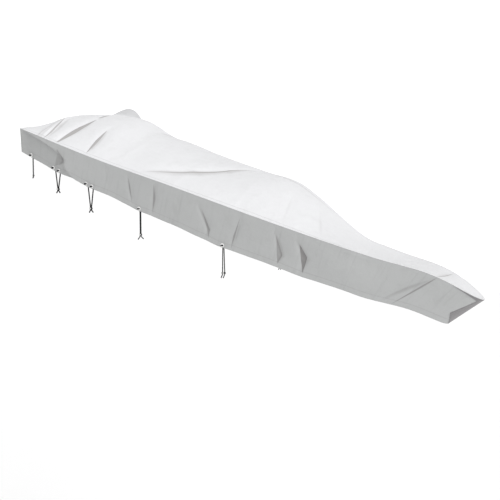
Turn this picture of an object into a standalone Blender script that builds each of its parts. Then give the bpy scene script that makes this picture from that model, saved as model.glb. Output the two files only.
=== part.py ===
"""Fitted cover for an open motor boat, as it hangs on the boat.

Nodes: one top panel, three skirt panels, one bow patch, and the ties along the skirt's hem
with their eyelets, cords, keepers and studs.  Units are metres, +X towards the bow, +Y port,
+Z up.  The origin is the point on the underside of the top panel, on the centreline, where
the boat's screen frame holds the cover up.
"""
import math
from collections import namedtuple

import bmesh
import bpy
import numpy as np
from mathutils import Matrix, Vector
from mathutils.bvhtree import BVHTree

# ---------------------------------------------------------------- main sizes
LENGTH = 5.60            # transom to bow tip, along the gunwale
HALF_BEAM = 0.97         # widest half-breadth
WIDEST_X = 1.96          # station of the widest breadth
STERN_SHARE = 0.93       # half-breadth at the transom as a share of the widest
BOW_POWER = 2.2          # fullness of the bow outline
CLOTH = 0.003            # cloth with its hem
SEAM_GAP = 0.0006        # top panel to skirt, and side skirt to stern skirt
STEM_GAP = 0.0003        # each side skirt from the centreline at the stem
SKIRT_LEAN = 0.16        # the skirt closes in by this share of its drop
STERN_RAKE = 0.075       # how far forward the stern hem lies
STERN_RAKE_END = 1.6     # station where that rake has died out
STEM_RAKE = 0.265        # how far back the hem lies at the stem
STEM_RAKE_START = 3.2
MOUNT_X = 2.8            # station of the mount
STEEPEST = 1.7           # upright thickness never grows past this share of the cloth's
RIM_FADE = 0.16          # folds of the top die out over this share of the half-breadth
STERN_FADE = 0.12        # and over this distance from the transom
EDGE_FADE = 0.14         # folds of the skirt die out over this share below its top edge
STEM_FADE = 0.12         # and over this distance before the bow patch
STEM_CLEAR = 0.32        # length kept smooth at the stem
CORNER_FADE = 0.15       # share of the stern skirt kept smooth at each corner
FULL_LEAN_BREADTH = 0.30 # narrower than this, the skirt leans in less
FOLD_SCALE = 0.40        # skirt height that the folds' shares are drawn on
CORNER_EASE = 0.08       # the side skirt takes up its stern gap over this length

# ---------------------------------------------------------------- mesh layout
STERN_ROWS = 19          # rows from the transom to 1.6 m
STERN_ROWS_END = 1.6
MID_STEP = 0.12          # row spacing amidships
MID_ROWS = 22
BOW_ROWS = 13            # rows that close up towards the tip
TOP_COLUMNS = 18         # strips across the top panel
SKIRT_STRIPS = 5         # strips down the skirt

Station = namedtuple("Station", "x value")
Ridge = namedtuple("Ridge", "x height power")
Fold = namedtuple("Fold", "name width depth path")
Tuck = namedtuple("Tuck", "t x")
Dip = namedtuple("Dip", "x width depth")
Tie = namedtuple("Tie", "name x gap drop cord apart aft_splay aft_tail fore_splay fore_tail")

# Height of the gunwale edge above the transom's.
SHEER = [
    Station(0.00, 0.000),
    Station(1.12, -0.034),
    Station(2.24, -0.032),
    Station(3.36, -0.044),
    Station(4.48, -0.050),
    Station(5.15, -0.046),
    Station(5.60, -0.156),
]

# Height of the skirt, gunwale to hem.
DROP = [
    Station(0.00, 0.267),
    Station(0.50, 0.311),
    Station(1.12, 0.332),
    Station(1.80, 0.377),
    Station(2.60, 0.422),
    Station(3.36, 0.435),
    Station(4.20, 0.432),
    Station(4.90, 0.439),
    Station(5.60, 0.373),
]

# Centreline height of the top above the gunwale, and how boxy the section is.
RIDGE = [
    Ridge(0.00, 0.099, 2.0),
    Ridge(0.25, 0.332, 2.0),
    Ridge(0.50, 0.430, 2.0),
    Ridge(0.80, 0.511, 2.0),
    Ridge(1.10, 0.545, 2.0),
    Ridge(1.40, 0.477, 2.0),
    Ridge(1.80, 0.452, 2.0),
    Ridge(2.30, 0.421, 2.0),
    Ridge(2.80, 0.419, 2.3),
    Ridge(3.20, 0.421, 2.6),
    Ridge(3.50, 0.320, 2.6),
    Ridge(3.80, 0.192, 2.4),
    Ridge(4.10, 0.062, 2.2),
    Ridge(4.50, -0.013, 2.0),
    Ridge(5.10, 0.000, 2.0),
    Ridge(5.60, 0.000, 2.0),
]

# Folds of the top panel: ridges stand up, troughs go down.  Path points are (x, y).
TOP_FOLDS = [
    Fold("stern crest", 0.075, 0.022, [(0.36, -0.86), (0.35, -0.73), (0.26, -0.42)]),
    Fold("stern trough", 0.060, -0.020, [(0.47, -0.86), (0.46, -0.70), (0.40, -0.48)]),
    Fold("tension wedge", 0.090, -0.038, [(0.60, -0.85), (0.66, -0.72), (0.71, -0.47)]),
    Fold("wedge end", 0.065, -0.014, [(0.71, -0.44), (0.63, -0.14)]),
    Fold("side pleat", 0.065, -0.020, [(1.04, -0.86), (1.02, -0.79), (1.00, -0.62)]),
    Fold("long sag", 0.095, -0.026, [(1.82, -0.84), (2.09, -0.79), (2.37, -0.66), (2.61, -0.48)]),
    Fold("sag end", 0.090, -0.014, [(2.70, -0.36), (3.25, 0.07), (3.80, 0.20)]),
    Fold("port sag", 0.100, -0.020, [(1.55, 0.80), (2.00, 0.66), (2.45, 0.50)]),
    Fold("port pleat", 0.070, -0.018, [(1.12, 0.84), (1.08, 0.60)]),
    Fold("port corner", 0.075, -0.024, [(0.30, 0.80), (0.42, 0.58)]),
    Fold("screen pull", 0.080, -0.016, [(3.95, 0.62), (3.50, 0.60), (3.10, 0.72)]),
    Fold("foredeck pull", 0.090, -0.010, [(5.16, 0.34), (5.14, 0.00), (5.12, -0.34)]),
    Fold("crown dimple", 0.080, -0.014, [(1.42, -0.12), (1.55, 0.20)]),
]

# The rounded hump over the seat back on the port side.
HUMP_X = 0.66
HUMP_Y = 0.30
HUMP_HEIGHT = 0.160
HUMP_HALF_LENGTH = 0.275
HUMP_HALF_WIDTH = 0.320

# Folds of each side skirt.  Path points are (x, share of the way down).
STARBOARD_FOLDS = [
    Fold("inner wedge", 0.055, -0.012, [(0.62, 0.22), (0.69, 0.50), (0.66, 0.64)]),
    Fold("pleat 1", 0.055, -0.010, [(1.65, 0.15), (1.73, 0.78)]),
    Fold("pleat 2", 0.055, -0.011, [(2.03, 0.15), (2.07, 0.90)]),
    Fold("pleat 3", 0.060, -0.013, [(2.60, 0.22), (2.74, 0.74), (2.74, 0.92)]),
    Fold("pleat 4", 0.055, -0.010, [(3.10, 0.14), (3.10, 0.85)]),
    Fold("pleat 5", 0.060, -0.014, [(3.48, 0.20), (3.61, 0.68), (3.58, 0.92)]),
    Fold("pleat 6", 0.065, -0.017, [(3.75, 0.24), (3.88, 0.58), (3.87, 0.94)]),
    Fold("bow slant", 0.075, -0.013, [(5.05, 0.24), (4.90, 0.64), (4.78, 0.96)]),
    Fold("belly", 0.160, 0.014, [(4.15, 0.55), (4.60, 0.55)]),
]
PORT_FOLDS = [
    Fold("pleat 1", 0.055, -0.011, [(0.92, 0.20), (0.88, 0.80)]),
    Fold("pleat 2", 0.055, -0.010, [(1.50, 0.18), (1.55, 0.85)]),
    Fold("pleat 3", 0.060, -0.013, [(2.25, 0.16), (2.34, 0.88)]),
    Fold("pleat 4", 0.055, -0.011, [(3.22, 0.20), (3.30, 0.90)]),
    Fold("pleat 5", 0.065, -0.015, [(3.80, 0.22), (3.70, 0.92)]),
    Fold("bow slant", 0.075, -0.013, [(5.02, 0.24), (4.82, 0.94)]),
    Fold("belly", 0.160, 0.014, [(4.15, 0.55), (4.55, 0.55)]),
]
STERN_FOLDS = [
    Fold("pleat 1", 0.060, -0.010, [(-0.52, 0.20), (-0.46, 0.90)]),
    Fold("pleat 2", 0.060, -0.012, [(0.08, 0.25), (0.02, 0.92)]),
    Fold("pleat 3", 0.060, -0.010, [(0.50, 0.20), (0.55, 0.88)]),
]

# The stern part of each side skirt is drawn in behind this slanting crease.
TUCK_EDGE = [
    Tuck(0.00, 0.00),
    Tuck(0.08, 0.22),
    Tuck(0.20, 0.52),
    Tuck(0.38, 0.71),
    Tuck(0.69, 0.76),
    Tuck(0.89, 0.85),
    Tuck(1.00, 0.94),
]
TUCK_DEPTH = 0.024
TUCK_BLEND = 0.12
TUCK_CORNER = 0.13       # the tuck starts over this distance from the transom
TUCK_TOP = 0.10          # and over this share below the gunwale

# The hem hangs in shallow points at the ties and lifts a little between them.
HEM_DIPS = [
    Dip(0.16, 0.10, 0.006),
    Dip(0.62, 0.13, 0.009),
    Dip(0.88, 0.09, -0.006),
    Dip(1.15, 0.13, 0.009),
    Dip(1.48, 0.12, -0.007),
    Dip(1.87, 0.12, 0.010),
    Dip(2.40, 0.16, -0.007),
    Dip(2.92, 0.13, 0.011),
    Dip(3.45, 0.16, -0.006),
    Dip(3.88, 0.12, 0.007),
    Dip(4.40, 0.18, -0.006),
]

# Bow patch: how far round from the stem it reaches on each side, at each share of the drop.
Band = namedtuple("Band", "t arc")
PATCH_BANDS = [
    Band(0.012, 0.520),
    Band(0.016, 0.475),
    Band(0.020, 0.430),
    Band(0.027, 0.385),
    Band(0.035, 0.340),
    Band(0.047, 0.288),
    Band(0.060, 0.238),
    Band(0.077, 0.188),
    Band(0.095, 0.142),
    Band(0.275, 0.177),
    Band(0.470, 0.220),
    Band(0.660, 0.262),
    Band(0.720, 0.230),
    Band(0.780, 0.197),
    Band(0.840, 0.158),
    Band(0.900, 0.117),
    Band(0.950, 0.077),
    Band(1.000, 0.035),
]
PATCH_COLUMNS = [0.04, 0.08, 0.12, 0.16, 0.20, 0.24, 0.285, 0.33, 0.375, 0.42, 0.47, 0.52]
PATCH_GAP = 0.0018
PATCH_CLOTH = 0.002

# ---------------------------------------------------------------- ties
# Each cord ends in a knot in front of its eyelet, goes through it and hangs down behind the
# cloth to the keeper.  gap is between the two eyelets of a tie, drop from eyelet to keeper,
# cord a cord's radius, and apart the half-distance between two cords in their keeper.  The
# free ends splay aft and forward by a share of their length.
TIES = [
    Tie("tie_1", 0.155, 0.000, 0.243, 0.0070, 0.00000, -0.60, 0.018, 0.00, 0.000),
    Tie("tie_2", 0.596, 0.092, 0.233, 0.0070, 0.00720, -0.80, 0.034, 0.80, 0.034),
    Tie("tie_3", 1.146, 0.088, 0.268, 0.0070, 0.00720, -0.70, 0.034, 0.95, 0.036),
    Tie("tie_4", 1.872, 0.000, 0.290, 0.0055, 0.00565, -0.80, 0.048, 1.15, 0.044),
    Tie("tie_5", 2.955, 0.000, 0.298, 0.0055, 0.01250, -0.45, 0.046, -0.45, 0.046),
]
EYELET_UP = 0.0257       # eyelet centre above the hem
EYELET_HOLE = 0.0122
CLOTH_HOLE = 0.0145
EYELET_SIDES = 12
EYELET_PROFILE = [       # radius, height above the cloth's face
    (EYELET_HOLE, -0.0040),
    (0.0138, -0.0040),
    (0.0138, 0.0010),
    (0.0220, 0.0010),
    (0.0212, 0.0030),
    (0.0132, 0.0038),
]
SEAT_RADIUS = 0.020      # where the flange meets the cloth
BEND_SHARE = 4.1         # bend radius behind the eyelet as a share of the cord's radius
BEND_BACK = 0.0055       # straight run through the cloth before that bend
HOLE_APART = 0.0058      # half-distance between two cords in one eyelet
KNOT_APART = 0.0070      # and between their knots
KNOT_FOOT = 0.0052       # where a knot starts in front of the cloth's face
KNOT_SHAPE = [           # share of the knot's length, share of its radius
    (0.00, 0.60),
    (0.20, 1.00),
    (0.72, 1.00),
    (0.94, 0.70),
]
KNOT_RADIUS = 0.0130
KNOT_LENGTH = 0.0170
SMALL_KNOT_RADIUS = 0.0066
SMALL_KNOT_LENGTH = 0.0130
CORD_STEP = 0.040        # longest straight piece of a cord
ARC_STEP = math.radians(32.0)
TIE_LEAN = 0.345         # the ties hang forward by this share of their drop
KEEPER_ABOVE = 0.015     # cords are straight this far above the keeper's centre
KEEPER_BEND = 0.060
STRAIGHT = 0.001         # a smaller turn is a straight run
SHARP_EDGE = math.radians(40.0)
SLEEVE_ARC = 4           # facets on each round end of a keeper
KEEPER_CLEAR = 0.0012    # keeper's hole past the cord's radius
KEEPER_WALL = 0.0055     # keeper's outside past the cord's radius
KEEPER_BEVEL = 0.0015
KEEPER_HALF = 0.0090     # half its height
STUD_PROFILE = [
    (0.0078, 0.0000),
    (0.0078, 0.0016),
    (0.0052, 0.0036),
]
STUD_SIDES = 10
STUD_CROWN = 0.0044
STUD_GAP = 0.0004        # stud's back from the keeper's face

# ---------------------------------------------------------------- materials
Finish = namedtuple("Finish", "color roughness metallic")
FINISHES = {
    "top_cloth": Finish((0.78, 0.78, 0.80), 0.62, 0.0),
    "skirt_cloth": Finish((0.44, 0.45, 0.45), 0.70, 0.0),
    "patch_cloth": Finish((0.27, 0.26, 0.265), 0.74, 0.0),
    "eyelet_shell": Finish((0.80, 0.80, 0.79), 0.35, 0.0),
    "cord_braid": Finish((0.015, 0.015, 0.017), 0.80, 0.0),
    "keeper_rubber": Finish((0.020, 0.020, 0.022), 0.55, 0.0),
    "pale_plastic": Finish((0.74, 0.74, 0.72), 0.40, 0.0),
}


def clear_scene():
    """Take everything out of the scene."""
    for item in list(bpy.data.objects):
        bpy.data.objects.remove(item, do_unlink=True)


def make_material(name):
    """One material per finish."""
    known = bpy.data.materials.get(name)
    if known:
        return known
    finish = FINISHES[name]
    material = bpy.data.materials.new(name)
    material.use_nodes = True
    shader = material.node_tree.nodes["Principled BSDF"]
    shader.inputs["Base Color"].default_value = (*finish.color, 1.0)
    shader.inputs["Roughness"].default_value = finish.roughness
    shader.inputs["Metallic"].default_value = finish.metallic
    material.diffuse_color = (*finish.color, 1.0)
    return material


# ---------------------------------------------------------------- smooth tables
def smooth_read(knots_x, knots_y, x):
    """Read a table on a smooth curve through its rows."""
    knots_x = np.asarray(knots_x, float)
    knots_y = np.asarray(knots_y, float)
    slope = np.gradient(knots_y, knots_x)
    i = int(np.clip(np.searchsorted(knots_x, x, side="right") - 1, 0, len(knots_x) - 2))
    step = knots_x[i + 1] - knots_x[i]
    t = min(max((x - knots_x[i]) / step, 0.0), 1.0)
    return float(
        (2 * t**3 - 3 * t**2 + 1) * knots_y[i]
        + (t**3 - 2 * t**2 + t) * step * slope[i]
        + (-2 * t**3 + 3 * t**2) * knots_y[i + 1]
        + (t**3 - t**2) * step * slope[i + 1]
    )


def read_rows(rows, x):
    """Read a table of Station rows."""
    return smooth_read([row.x for row in rows], [row.value for row in rows], x)


def ease(t):
    """0 to 1 with flat ends."""
    t = min(max(t, 0.0), 1.0)
    return t * t * (3.0 - 2.0 * t)


def path_distance(x, y, path):
    """Distance from a point to a line of straight pieces."""
    best = 1.0e9
    for (ax, ay), (bx, by) in zip(path[:-1], path[1:]):
        run_x = bx - ax
        run_y = by - ay
        share = ((x - ax) * run_x + (y - ay) * run_y) / (run_x**2 + run_y**2)
        share = min(max(share, 0.0), 1.0)
        best = min(best, math.hypot(x - ax - share * run_x, y - ay - share * run_y))
    return best


def fold_height(x, y, folds):
    """Sum of soft folds at a point."""
    total = 0.0
    for fold in folds:
        away = path_distance(x, y, fold.path) / fold.width
        total += fold.depth * math.exp(-away * away)
    return total


# ---------------------------------------------------------------- hull lines
def half_breadth(x):
    """Half-breadth of the gunwale edge."""
    if x < WIDEST_X:
        share = (WIDEST_X - x) / WIDEST_X
        return HALF_BEAM * (STERN_SHARE + (1.0 - STERN_SHARE) * (1.0 - share * share))
    t = min((x - WIDEST_X) / (LENGTH - WIDEST_X), 1.0)
    return HALF_BEAM * math.sqrt(max(1.0 - t**BOW_POWER, 0.0))


def outline_normal(x):
    """Outward direction (x, y) of the gunwale edge on the port side."""
    if x < WIDEST_X:
        slope = HALF_BEAM * (1.0 - STERN_SHARE) * 2.0 * (WIDEST_X - x) / WIDEST_X**2
        normal = Vector((-slope, 1.0))
    else:
        t = min((x - WIDEST_X) / (LENGTH - WIDEST_X), 1.0)
        turn = BOW_POWER * t ** (BOW_POWER - 1.0) * HALF_BEAM / (LENGTH - WIDEST_X)
        normal = Vector((turn, 2.0 * math.sqrt(max(1.0 - t**BOW_POWER, 0.0))))
    return normal.normalized()


def ridge_at(x):
    """Centreline height and section power."""
    stations = [row.x for row in RIDGE]
    height = smooth_read(stations, [row.height for row in RIDGE], x)
    power = smooth_read(stations, [row.power for row in RIDGE], x)
    return height, power


def top_height(x, v):
    """Outer face of the top panel; v runs from -1 at starboard to 1 at port."""
    height, power = ridge_at(x)
    base = read_rows(SHEER, x) + height * (1.0 - abs(v) ** power)
    y = v * half_breadth(x)
    rim = ease((1.0 - abs(v)) / RIM_FADE) * ease(x / STERN_FADE)
    away = ((x - HUMP_X) / HUMP_HALF_LENGTH) ** 2 + ((y - HUMP_Y) / HUMP_HALF_WIDTH) ** 2
    hump = HUMP_HEIGHT * max(1.0 - away, 0.0) ** 2
    return base + rim * (fold_height(x, y, TOP_FOLDS) + hump)


def top_thickness(x, v):
    """Upright thickness that gives the cloth's true thickness on a slope."""
    small = 0.002
    ahead = min(x + small, LENGTH)
    behind = max(x - small, 0.0)
    slope_x = (top_height(ahead, v) - top_height(behind, v)) / (ahead - behind)
    breadth = max(half_breadth(x), 0.02)
    left = max(v - small, -1.0)
    right = min(v + small, 1.0)
    slope_y = (top_height(x, right) - top_height(x, left)) / ((right - left) * breadth)
    return CLOTH * min(math.sqrt(1.0 + slope_x**2 + slope_y**2), STEEPEST)


def skirt_drop(x):
    """Height of the skirt with the hem's points."""
    dips = sum(dip.depth * math.exp(-(((x - dip.x) / dip.width) ** 2)) for dip in HEM_DIPS)
    return read_rows(DROP, x) + dips * ease(x / 0.06)


def skirt_top(x):
    """Top edge of the skirt, just under the rim of the top panel."""
    return top_height(x, 1.0) - top_thickness(x, 1.0) - SEAM_GAP


def rake(x):
    """How far the hem lies forward of its station."""
    stern = STERN_RAKE * max(1.0 - x / STERN_RAKE_END, 0.0) ** 2
    bow = STEM_RAKE * max((x - STEM_RAKE_START) / (LENGTH - STEM_RAKE_START), 0.0) ** 2
    return stern - bow


def tuck_at(x, t):
    """How far the stern part of the side skirt is drawn in."""
    edge = smooth_read([row.t for row in TUCK_EDGE], [row.x for row in TUCK_EDGE], t)
    start = ease(x / TUCK_CORNER) * ease(t / TUCK_TOP)
    return TUCK_DEPTH * ease((edge - x) / TUCK_BLEND) * start


def skirt_point(x, t, side, folds, out=0.0):
    """A point of a side skirt; t is 0 at the gunwale and 1 at the hem, side is -1 or 1."""
    drop = skirt_drop(x)
    breadth = half_breadth(x)
    lean = SKIRT_LEAN * drop * t * min(1.0, breadth / FULL_LEAN_BREADTH)
    normal = outline_normal(x)
    fade = ease(x / STERN_FADE) * ease((LENGTH - STEM_CLEAR - x) / STEM_FADE)
    fade *= ease(t / EDGE_FADE)
    push = out + fade * fold_height(x, FOLD_SCALE * t, [scaled(fold) for fold in folds])
    push -= tuck_at(x, t)
    y = max(breadth - lean + push * normal.y, STEM_GAP)
    top = skirt_top(x)
    bottom = read_rows(SHEER, x) - drop
    return Vector((x + rake(x) * t + push * normal.x, side * y, top + (bottom - top) * t))


SCALED_FOLDS = {}


def scaled(fold):
    """A skirt fold with its path in metres down the skirt."""
    key = (fold.name, tuple(fold.path))
    if key not in SCALED_FOLDS:
        SCALED_FOLDS[key] = fold._replace(path=[(x, FOLD_SCALE * t) for x, t in fold.path])
    return SCALED_FOLDS[key]


ORIGIN = Vector((MOUNT_X, 0.0, top_height(MOUNT_X, 0.0) - top_thickness(MOUNT_X, 0.0)))


def stations():
    """Rows from the transom to the bow tip, closer where the shape turns."""
    rows = [STERN_ROWS_END * i / STERN_ROWS for i in range(STERN_ROWS)]
    rows += [STERN_ROWS_END + MID_STEP * i for i in range(MID_ROWS)]
    start = STERN_ROWS_END + MID_STEP * MID_ROWS
    rows += [start + (LENGTH - start) * math.sin(0.5 * math.pi * i / BOW_ROWS)
             for i in range(BOW_ROWS + 1)]
    return rows


# ---------------------------------------------------------------- solids
def add_object(name, mesh, material):
    """Put a mesh in the scene under its name, smooth except at its edges."""
    mesh.materials.append(make_material(material))
    for face in mesh.polygons:
        face.use_smooth = True
    mesh.set_sharp_from_angle(angle=SHARP_EDGE)
    item = bpy.data.objects.new(name, mesh)
    bpy.context.scene.collection.objects.link(item)
    return item


def sheet(name, outer, inner, material):
    """A closed sheet from two grids of points, with its four edges."""
    rows = len(outer)
    columns = len(outer[0])
    build = bmesh.new()
    grids = []
    for grid in (outer, inner):
        grids.append([[build.verts.new(point - ORIGIN) for point in row] for row in grid])
    face_out, face_in = grids

    def quad(a, b, c, d):
        build.faces.new((a, b, c, d))

    for i in range(rows - 1):
        for j in range(columns - 1):
            quad(face_out[i][j], face_out[i + 1][j], face_out[i + 1][j + 1], face_out[i][j + 1])
            quad(face_in[i][j], face_in[i][j + 1], face_in[i + 1][j + 1], face_in[i + 1][j])
        for j in (0, columns - 1):
            quad(face_out[i][j], face_in[i][j], face_in[i + 1][j], face_out[i + 1][j])
    for j in range(columns - 1):
        for i in (0, rows - 1):
            quad(face_out[i][j], face_out[i][j + 1], face_in[i][j + 1], face_in[i][j])
    bmesh.ops.remove_doubles(build, verts=build.verts, dist=0.00001)
    bmesh.ops.triangulate(build, faces=build.faces)
    bmesh.ops.recalc_face_normals(build, faces=build.faces)
    if build.calc_volume(signed=True) < 0.0:
        bmesh.ops.reverse_faces(build, faces=build.faces)
    mesh = bpy.data.meshes.new(name)
    build.to_mesh(mesh)
    build.free()
    return add_object(name, mesh, material)


def top_panel():
    """The top: one sheet from rim to rim."""
    outer = []
    inner = []
    for x in stations():
        upper = []
        lower = []
        for j in range(TOP_COLUMNS + 1):
            v = -1.0 + 2.0 * j / TOP_COLUMNS
            z = top_height(x, v)
            y = v * half_breadth(x)
            upper.append(Vector((x, y, z)))
            lower.append(Vector((x, y, z - top_thickness(x, v))))
        outer.append(upper)
        inner.append(lower)
    return sheet("top_panel", outer, inner, "top_cloth")


def side_skirt(name, side, folds):
    """One side of the skirt, from the stern corner to the stem."""
    outer = []
    inner = []
    for x in stations():
        start = (CLOTH + SEAM_GAP) * max(1.0 - x / CORNER_EASE, 0.0)
        shift = Vector((start, 0.0, 0.0))
        face = []
        back = []
        for k in range(SKIRT_STRIPS + 1):
            t = k / SKIRT_STRIPS
            face.append(skirt_point(x, t, side, folds) + shift)
            back.append(skirt_point(x, t, side, folds, -CLOTH) + shift)
        outer.append(face)
        inner.append(back)
    return sheet(name, outer, inner, "skirt_cloth")


def stern_skirt():
    """The skirt across the transom."""
    outer = []
    inner = []
    for j in range(TOP_COLUMNS + 1):
        v = -1.0 + 2.0 * j / TOP_COLUMNS
        top = top_height(0.0, v) - top_thickness(0.0, v) - SEAM_GAP
        bottom = read_rows(SHEER, 0.0) - skirt_drop(0.0)
        face = []
        back = []
        for k in range(SKIRT_STRIPS + 1):
            t = k / SKIRT_STRIPS
            y = v * (half_breadth(0.0) - SKIRT_LEAN * skirt_drop(0.0) * t)
            fade = ease((1.0 - abs(v)) / CORNER_FADE) * ease(t / EDGE_FADE)
            push = fade * fold_height(y, FOLD_SCALE * t, [scaled(fold) for fold in STERN_FOLDS])
            x = STERN_RAKE * t - push
            z = top + (bottom - top) * t
            face.append(Vector((x, y, z)))
            back.append(Vector((x + CLOTH, y, z)))
        outer.append(face)
        inner.append(back)
    return sheet("skirt_stern", outer, inner, "skirt_cloth")


def bow_patch():
    """The darker patch wrapped round the stem."""
    fine = 4000
    span = LENGTH - WIDEST_X
    xs = [WIDEST_X + span * math.sin(0.5 * math.pi * i / fine) for i in range(fine + 1)]
    ys = [half_breadth(x) for x in xs]
    from_stem = np.zeros(fine + 1)
    for i in range(fine - 1, -1, -1):
        from_stem[i] = from_stem[i + 1] + math.hypot(xs[i + 1] - xs[i], ys[i + 1] - ys[i])

    def place(band, column, out):
        x = float(np.interp(min(abs(column), band.arc), from_stem[::-1], xs[::-1]))
        side = -1 if column < 0.0 else 1
        point = skirt_point(x, band.t, side, STARBOARD_FOLDS if side < 0 else PORT_FOLDS)
        normal = outline_normal(x)
        if column == 0.0:
            point.y = 0.0
        return point + Vector((out * normal.x, out * side * normal.y, 0.0))

    columns = [-column for column in reversed(PATCH_COLUMNS)] + [0.0] + PATCH_COLUMNS
    out = PATCH_GAP + PATCH_CLOTH
    outer = [[place(band, column, out) for band in PATCH_BANDS] for column in columns]
    inner = [[place(band, column, PATCH_GAP) for band in PATCH_BANDS] for column in columns]
    return sheet("bow_patch", outer, inner, "patch_cloth")


def turned(name, profile, sides, frame, material, crown=None):
    """A ring turned from its profile, or a dome when it has a crown."""
    build = bmesh.new()
    rings = []
    for radius, height in profile:
        ring = []
        for k in range(sides):
            angle = 2.0 * math.pi * k / sides
            ring.append(build.verts.new((radius * math.cos(angle), radius * math.sin(angle), height)))
        rings.append(ring)
    closed = crown is None
    pairs = list(zip(rings, rings[1:] + rings[:1])) if closed else list(zip(rings, rings[1:]))
    for lower, upper in pairs:
        for k in range(sides):
            n = (k + 1) % sides
            build.faces.new((lower[k], lower[n], upper[n], upper[k]))
    if not closed:
        tip = build.verts.new((0.0, 0.0, crown))
        build.faces.new(list(reversed(rings[0])))
        for k in range(sides):
            build.faces.new((rings[-1][k], rings[-1][(k + 1) % sides], tip))
    return finish_solid(build, name, frame, material)


def sleeve(name, profile, half_gap, frame, material):
    """A sleeve round one cord, or round two cords side by side."""
    outline = []
    for side, start in ((1.0, -0.5 * math.pi), (-1.0, 0.5 * math.pi)):
        for k in range(SLEEVE_ARC + 1):
            outline.append((side * half_gap, start + math.pi * k / SLEEVE_ARC))
    if half_gap == 0.0:
        count = 2 * SLEEVE_ARC + 2
        outline = [(0.0, 2.0 * math.pi * k / count) for k in range(count)]
    build = bmesh.new()
    rings = []
    for radius, height in profile:
        ring = []
        for shift, angle in outline:
            x = shift + radius * math.cos(angle)
            ring.append(build.verts.new((x, radius * math.sin(angle), height)))
        rings.append(ring)
    for lower, upper in zip(rings, rings[1:] + rings[:1]):
        for k in range(len(outline)):
            n = (k + 1) % len(outline)
            build.faces.new((lower[k], lower[n], upper[n], upper[k]))
    return finish_solid(build, name, frame, material)


def finish_solid(build, name, frame, material):
    """Close, orient and place a small solid."""
    bmesh.ops.triangulate(build, faces=build.faces)
    bmesh.ops.recalc_face_normals(build, faces=build.faces)
    if build.calc_volume(signed=True) < 0.0:
        bmesh.ops.reverse_faces(build, faces=build.faces)
    mesh = bpy.data.meshes.new(name)
    build.to_mesh(mesh)
    build.free()
    item = add_object(name, mesh, material)
    item.matrix_world = frame
    return item


def frame_at(centre, x_axis, z_axis):
    """A placement from its centre, its long direction and its axis."""
    z_axis = z_axis.normalized()
    x_axis = (x_axis - z_axis * x_axis.dot(z_axis)).normalized()
    y_axis = z_axis.cross(x_axis)
    turn = Matrix((x_axis, y_axis, z_axis)).transposed().to_4x4()
    return Matrix.Translation(centre) @ turn


# ---------------------------------------------------------------- cords
def rounded_route(corners):
    """Points along straight runs joined by arcs; each corner is (point, bend radius)."""
    runs = [corners[0][0]]
    for before, here, after in zip(corners[:-2], corners[1:-1], corners[2:]):
        point, radius = here
        back = (before[0] - point).normalized()
        ahead = (after[0] - point).normalized()
        turn = math.pi - back.angle(ahead)
        if turn < STRAIGHT or radius == 0.0:
            runs.append(point)
            continue
        reach = radius * math.tan(0.5 * turn)
        centre = point + (back + ahead).normalized() * radius / math.cos(0.5 * turn)
        first = point + back * reach - centre
        last = point + ahead * reach - centre
        steps = math.ceil(turn / ARC_STEP)
        for k in range(steps + 1):
            share = k / steps
            first_share = math.sin((1.0 - share) * turn) / math.sin(turn)
            last_share = math.sin(share * turn) / math.sin(turn)
            runs.append(centre + first * first_share + last * last_share)
    runs.append(corners[-1][0])
    points = [runs[0]]
    for a, b in zip(runs[:-1], runs[1:]):
        steps = max(1, math.ceil((b - a).length / CORD_STEP))
        points += [a.lerp(b, k / steps) for k in range(1, steps + 1)]
    return points


def add_cord(name, points, radius, knot_length, knot_radius):
    """A round cord along its route, which starts at its knot's outer end."""
    way = (points[1] - points[0]).normalized()
    rings = [(points[0] + way * (share * knot_length), wide * knot_radius)
             for share, wide in KNOT_SHAPE]
    rings += [(point, radius) for point in points[1:]]
    curve = bpy.data.curves.new(name, "CURVE")
    curve.dimensions = "3D"
    curve.bevel_depth = 1.0
    curve.bevel_resolution = 2
    curve.use_fill_caps = True
    spline = curve.splines.new("POLY")
    spline.points.add(len(rings) - 1)
    for target, (point, wide) in zip(spline.points, rings):
        target.co = (*point, 1.0)
        target.radius = wide
    spline.use_smooth = True
    curve.materials.append(make_material("cord_braid"))
    item = bpy.data.objects.new(name, curve)
    bpy.context.scene.collection.objects.link(item)
    return item


def skirt_tree(item):
    """Search tree over a skirt's faces."""
    mesh = item.data
    points = [vertex.co.copy() for vertex in mesh.vertices]
    return BVHTree.FromPolygons(points, [tuple(face.vertices) for face in mesh.polygons])


def seat_on(tree, near, normal):
    """Where an eyelet sits on the cloth: its centre and axis."""
    side = normal.cross(Vector((0.0, 0.0, 1.0))).normalized()
    other = normal.cross(side)
    hits = []
    for k in range(EYELET_SIDES):
        angle = 2.0 * math.pi * k / EYELET_SIDES
        shift = (side * math.cos(angle) + other * math.sin(angle)) * SEAT_RADIUS
        hits.append(tree.ray_cast(near + shift + normal * 0.05, -normal)[0])
    centre = sum(hits, Vector()) / len(hits)
    axis = Vector()
    for k in range(len(hits)):
        axis += (hits[k] - centre).cross(hits[(k + 1) % len(hits)] - centre)
    axis.normalize()
    if axis.dot(normal) < 0.0:
        axis.negate()
    return centre, axis


def local_normal(x, t, side, folds):
    """Outward direction of the skirt at a point."""
    small = 0.004
    along = skirt_point(x + small, t, side, folds) - skirt_point(x - small, t, side, folds)
    down = skirt_point(x, t + small, side, folds) - skirt_point(x, t - small, side, folds)
    normal = along.cross(down).normalized()
    if normal.y * side < 0.0:
        normal.negate()
    return normal


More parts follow.
